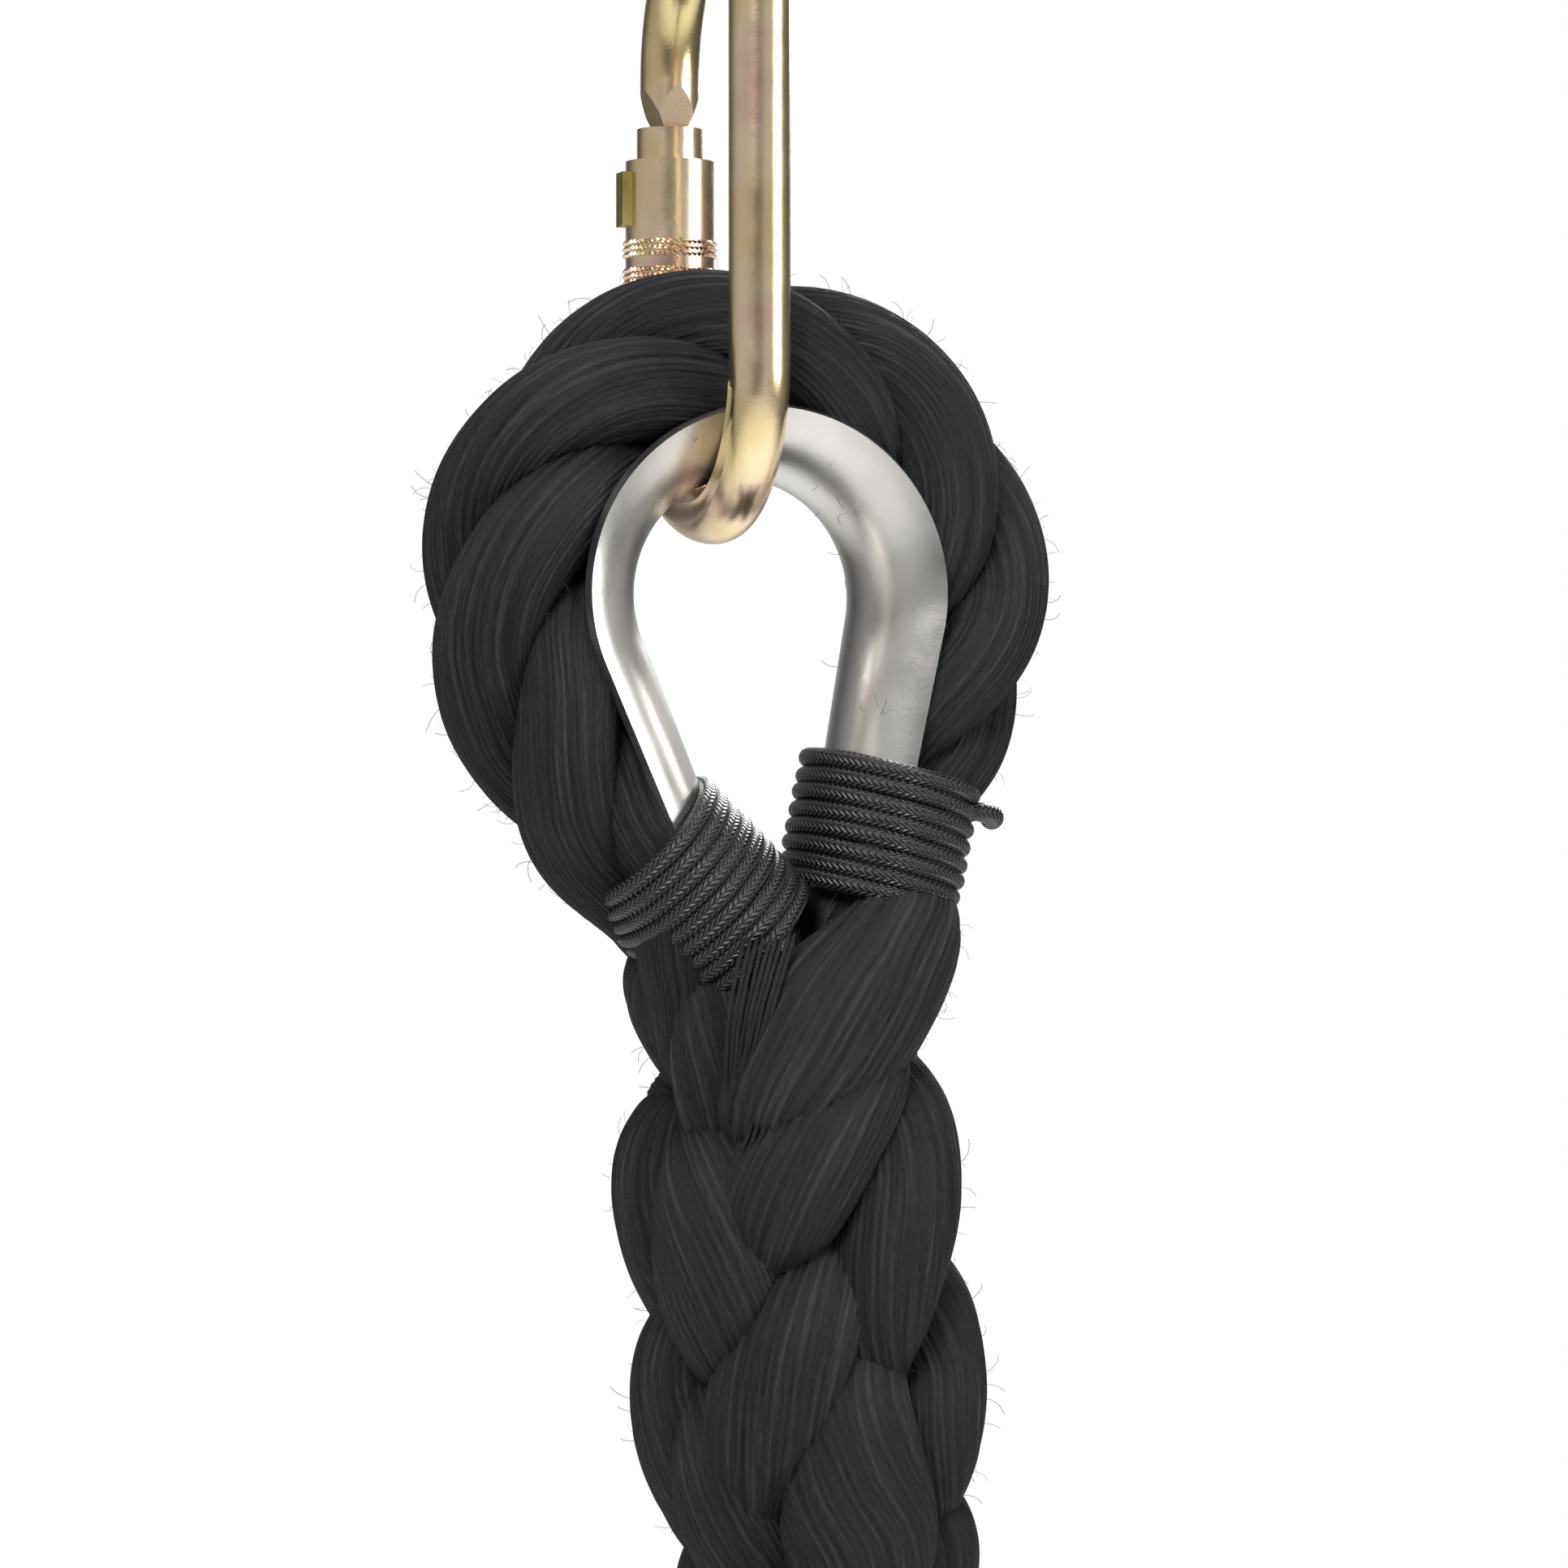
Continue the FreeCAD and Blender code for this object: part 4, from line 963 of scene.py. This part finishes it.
# rows of each bundle: u, y, v; its yarns lie side by side across the first column
LOOSE_YARNS = {
    "throat_yarns": [(-7, -25.5, 66), (-13, -27.5, 80), (-16.5, -26.5, 94), (-17.5, -23.0, 107)],
    "waist_yarns": [(-9, -27.0, 101), (-15, -27.5, 112), (-19.5, -26.5, 124), (-21.5, -23.0, 134)],
}
loose = []
for seed, (label, rows) in enumerate(LOOSE_YARNS.items()):
    rng = np.random.default_rng(200 + seed)
    for index in range(YARNS_IN_BUNDLE):
        yarn = np.array(rows, dtype=float)
        yarn[:, 0] -= (index - 2) * np.linspace(1.25, 0.35, len(rows)) + rng.normal(0, 0.12, len(rows))
        # away from the splice's middle the yarns lie further back, as its round side does
        yarn[:, 1] += 0.021 * (yarn[:, 0] - SPLICE_AXIS) ** 2 + rng.normal(0, 0.15, len(rows))
        yarn_line = in_eye(smooth_line(yarn, LOOSE_POINTS))
        yarn_side = carried_side(yarn_line, (1.0, 0.0, 0.0))
        thick = LOOSE_HALF * rounded_ends(LOOSE_POINTS, 16, 0.02)
        loose.append(sweep(f"{label}_{index}", yarn_line, yarn_side, np.cross(tangents(yarn_line), yarn_side),
                           thick, thick, 12, 3, 900.0, 0.00006, index))
dress(joined("loose_yarns", loose), rope_yarn, "eye", "rope")
print("loose yarns:", len(loose))

# %% [markdown]
# ## Seizings
# Each seizing is a row of turns of braided cord, pulled tight round one leg of the rope and
# one leg of the thimble. A turn is a closed oval sweep, a little uneven like a hand-laid one.

# %% Seizings
CORD_HALF = 0.00188
CORD_FLATTENING = 0.97
TURN_POINTS = 132
TURN_UNEVENNESS = 0.006


def make_seizing(label, u, v, tilt, turns, pitch, across, through, lean, seed):
    """Turns of cord side by side round a leg; the tilt is the leg's own, from the eye's axis."""
    rng = np.random.default_rng(seed)
    turn = math.radians(tilt)
    outward = ACROSS * math.cos(turn) + DOWN * math.sin(turn)
    along = -ACROSS * math.sin(turn) + DOWN * math.cos(turn)
    middle_place = in_eye([(u, 0, v)])[0]
    angle = np.linspace(0, 2 * math.pi, TURN_POINTS, endpoint=False)
    pieces = []
    for index in range(turns):
        share = index - (turns - 1) / 2
        grow = 1 + rng.normal(0, TURN_UNEVENNESS) - 0.012 * abs(share) / turns
        slow_wobble = 0.00016 * np.sin(angle * 2 + rng.uniform(0, 6))
        quick_wobble = 0.00005 * np.sin(angle * 5 + rng.uniform(0, 6))
        skew = lean * np.cos(angle) * across + (slow_wobble + quick_wobble)
        centre = (middle_place + along * (share * pitch + skew)[:, None]
                  + outward * (np.cos(angle) * across * grow)[:, None]
                  + THROUGH * (np.sin(angle) * through * grow)[:, None])
        heading = unit(np.roll(centre, -1, axis=0) - np.roll(centre, 1, axis=0))
        side = np.tile(along, (len(centre), 1))
        side = unit(side - heading * (side * heading).sum(axis=1, keepdims=True))
        rise = np.cross(heading, side)
        half_side = np.full(TURN_POINTS, CORD_HALF * CORD_FLATTENING)
        half_rise = np.full(TURN_POINTS, CORD_HALF)
        pieces.append(sweep(f"{label}_{index}", centre, side, rise, half_side, half_rise,
                            20, 8, 0.0, 0.0, seed, closed=True))
    whole = joined(label + "_cord", pieces)
    return dress(whole, seizing_braid, "eye", "braided_cord", label)


right_cord = make_seizing("right_seizing", 23.0, 50.8, tilt=18.0, turns=8, pitch=0.00345,
                          across=0.0163, through=0.0212, lean=0.06, seed=7)
left_cord = make_seizing("left_seizing", -16.6, 57.0, tilt=-38.0, turns=9, pitch=0.00335,
                         across=0.0158, through=0.0212, lean=-0.04, seed=8)
print("seizings:", right_cord.name, left_cord.name)

# %% Cord end
# a cord's end sticks out of the right seizing in a small stub
STUB_POINTS = 24
stub_rows = [(38.0, -12, 47.5), (42.0, -10, 48.0), (45.0, -7, 49.0), (46.0, -4, 50.0)]
stub_line = in_eye(smooth_line(stub_rows, STUB_POINTS))
stub_side = carried_side(stub_line, (0.0, 1.0, 0.0))
stub_round = CORD_HALF * rounded_ends(STUB_POINTS, 12, 0.02) * np.linspace(0.9, 1.35, STUB_POINTS)
stub = sweep("right_seizing_stub", stub_line, stub_side, np.cross(tangents(stub_line), stub_side),
             stub_round, stub_round, 24, 8, 0.0, 0.0, 9)
dress(stub, seizing_braid, "eye", "braided_cord", "right_seizing_end")
print("cord end:", stub.name)

# %% [markdown]
# ## Knurling and stray fibres
# Both are repeats, so both are Geometry Nodes: two bands of three rings of small pyramids
# round the lock sleeve, and short hairs scattered over the rope's strands.

# %% Geometry Nodes helpers
def geometry_tree(name, inputs):
    """An empty geometry tree with its input and output nodes."""
    tree = bpy.data.node_groups.new(name, "GeometryNodeTree")
    tree.interface.new_socket("Geometry", in_out="INPUT", socket_type="NodeSocketGeometry")
    tree.interface.new_socket("Geometry", in_out="OUTPUT", socket_type="NodeSocketGeometry")
    for label, kind, value in inputs:
        tree.interface.new_socket(label, in_out="INPUT", socket_type=kind).default_value = value
    return tree, tree.nodes.new("NodeGroupInput"), tree.nodes.new("NodeGroupOutput")


def node_of(tree, kind, settings=None, **wires):
    """A node with its settings, its plain values and its links. A wire is named as its socket
    is, with an underscore for a space."""
    node = tree.nodes.new(kind)
    for key, value in (settings or {}).items():
        setattr(node, key, value)
    for key, value in wires.items():
        socket = node.inputs[key.replace("_", " ")]
        if isinstance(value, bpy.types.NodeSocket):
            tree.links.new(value, socket)
        else:
            socket.default_value = value
    return node


def close_tree(tree, finished, material, output):
    """Every tree ends by realizing its instances and setting their material."""
    real = node_of(tree, "GeometryNodeRealizeInstances", Geometry=finished)
    painted = node_of(tree, "GeometryNodeSetMaterial", Geometry=real.outputs[0], Material=material)
    tree.links.new(painted.outputs[0], output.inputs["Geometry"])


def grown(name, host_mesh, tree, values):
    """A new mesh object made by running a tree on a host mesh."""
    holder = bpy.data.objects.new(name + "_host", host_mesh)
    bpy.context.collection.objects.link(holder)
    modifier = holder.modifiers.new("grow", "NODES")
    modifier.node_group = tree
    for item in tree.interface.items_tree:
        if item.in_out == "INPUT" and item.name in values:
            modifier[item.identifier] = values[item.name]
    holder.update_tag()
    depsgraph = bpy.context.evaluated_depsgraph_get()
    mesh = bpy.data.meshes.new_from_object(holder.evaluated_get(depsgraph))
    holder.modifiers.remove(modifier)
    bpy.data.objects.remove(holder)
    piece = bpy.data.objects.new(name, mesh)
    bpy.context.collection.objects.link(piece)
    return piece


# %% Knurled bands
knurl, knurl_in, knurl_out = geometry_tree("knurl_ring", [
    ("Count", "NodeSocketInt", 48), ("Radius", "NodeSocketFloat", 0.009), ("Step", "NodeSocketFloat", 0.001)])
circle = node_of(knurl, "GeometryNodeMeshCircle", Vertices=knurl_in.outputs["Count"],
                 Radius=knurl_in.outputs["Radius"])
place_node = node_of(knurl, "GeometryNodeInputPosition")
aligned = node_of(knurl, "FunctionNodeAlignEulerToVector", {"axis": "Z"}, Vector=place_node.outputs[0])
pyramid = node_of(knurl, "GeometryNodeMeshCone", Vertices=4,
                  Radius_Top=0.00006, Radius_Bottom=0.00066, Depth=0.00055)
ring_of = node_of(knurl, "GeometryNodeInstanceOnPoints", Points=circle.outputs["Mesh"],
                  Instance=pyramid.outputs["Mesh"], Rotation=aligned.outputs[0])
rows_joined = node_of(knurl, "GeometryNodeJoinGeometry")
RINGS_IN_BAND = 3
for row in range(RINGS_IN_BAND):
    lift = maths(knurl, "MULTIPLY", knurl_in.outputs["Step"], float(row))
    spin = maths(knurl, "DIVIDE", math.pi * (row % 2), knurl_in.outputs["Count"])
    shift_by = node_of(knurl, "ShaderNodeCombineXYZ", Z=lift)
    spin_by = node_of(knurl, "ShaderNodeCombineXYZ", Z=spin)
    moved = node_of(knurl, "GeometryNodeTransform", Geometry=ring_of.outputs[0],
                    Translation=shift_by.outputs[0], Rotation=spin_by.outputs[0])
    knurl.links.new(moved.outputs[0], rows_joined.inputs[0])
close_tree(knurl, rows_joined.outputs[0], yellow_zinc, knurl_out)

BAND_DROPS = (("upper", 0.0192), ("lower", 0.0248))
sleeve = frame["nodes"]["lock_sleeve"]
sleeve_points = [sleeve.matrix_world @ vertex.co for vertex in sleeve.data.vertices]
sleeve_top = max(point.z for point in sleeve_points)
sleeve_ys = [point.y for point in sleeve_points]
sleeve_centre_y = 0.5 * (max(sleeve_ys) + min(sleeve_ys))
for label, drop in BAND_DROPS:
    band = grown(f"sleeve_knurl_{label}", bpy.data.meshes.new("empty_host"), knurl,
                 {"Count": 50, "Radius": 0.00912, "Step": 0.00122})
    for vertex in band.data.vertices:
        vertex.co += Vector((0.0, sleeve_centre_y, sleeve_top - drop))
    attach(band, "sleeve")
print("knurls on the sleeve at", round(sleeve_top, 4))

# %% Stray fibres
fuzz, fuzz_in, fuzz_out = geometry_tree("stray_fibres", [
    ("Density", "NodeSocketFloat", 40000.0), ("Length", "NodeSocketFloat", 1.0),
    ("Seed", "NodeSocketInt", 1)])
scatter = node_of(fuzz, "GeometryNodeDistributePointsOnFaces", Mesh=fuzz_in.outputs["Geometry"],
                  Density=fuzz_in.outputs["Density"], Seed=fuzz_in.outputs["Seed"])
hair = node_of(fuzz, "GeometryNodeCurveQuadraticBezier", Resolution=4, Start=(0, 0, 0),
               Middle=(0.0002, 0, 0.0014), End=(0.0016, 0.0003, 0.0018))
thin = node_of(fuzz, "GeometryNodeCurvePrimitiveCircle", Resolution=3, Radius=0.000028)
hair_mesh = node_of(fuzz, "GeometryNodeCurveToMesh", Curve=hair.outputs[0],
                    Profile_Curve=thin.outputs[0])
spin_hair = node_of(fuzz, "FunctionNodeRandomValue", {"data_type": "FLOAT_VECTOR"})
spin_hair.inputs[0].default_value = (-0.7, -0.7, 0.0)
spin_hair.inputs[1].default_value = (0.7, 0.7, 6.28)
turned = node_of(fuzz, "FunctionNodeRotateEuler", {"space": "LOCAL"}, Rotation=scatter.outputs["Rotation"])
fuzz.links.new(spin_hair.outputs[0], turned.inputs["Rotate By"])
long_by = node_of(fuzz, "FunctionNodeRandomValue", {"data_type": "FLOAT"})
long_by.inputs[2].default_value = 0.35
long_by.inputs[3].default_value = 1.5
long_hair = maths(fuzz, "MULTIPLY", long_by.outputs[1], fuzz_in.outputs["Length"])
hairs = node_of(fuzz, "GeometryNodeInstanceOnPoints", Points=scatter.outputs["Points"],
                Instance=hair_mesh.outputs[0], Rotation=turned.outputs[0], Scale=long_hair)
close_tree(fuzz, hairs.outputs[0], rope_yarn, fuzz_out)

EYE_FIBRES = 24000.0
SPLICE_FIBRES = 12000.0
fuzzed = [bpy.data.objects[f"eye_strand_{index}"] for index in (1, 2, 3)] + splice_pieces
fuzz_parts = []
for seed, host in enumerate(fuzzed):
    density = EYE_FIBRES if host.name.startswith("eye") else SPLICE_FIBRES
    fuzz_parts.append(grown("fuzz_" + host.name, host.data.copy(), fuzz,
                            {"Density": density, "Length": 1.5, "Seed": seed}))
fibres_all = joined("stray_fibres", fuzz_parts)
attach(fibres_all, "eye")
print("stray fibres:", len(fibres_all.data.polygons), "faces")

# %% Triangle count
counts = {}
for item in bpy.data.objects:
    if item.type == "MESH":
        counts[item.name] = sum(len(polygon.vertices) - 2 for polygon in item.data.polygons)
largest = sorted(counts.items(), key=lambda pair: -pair[1])[:4]
print("triangles in all:", sum(counts.values()), "largest:", largest)
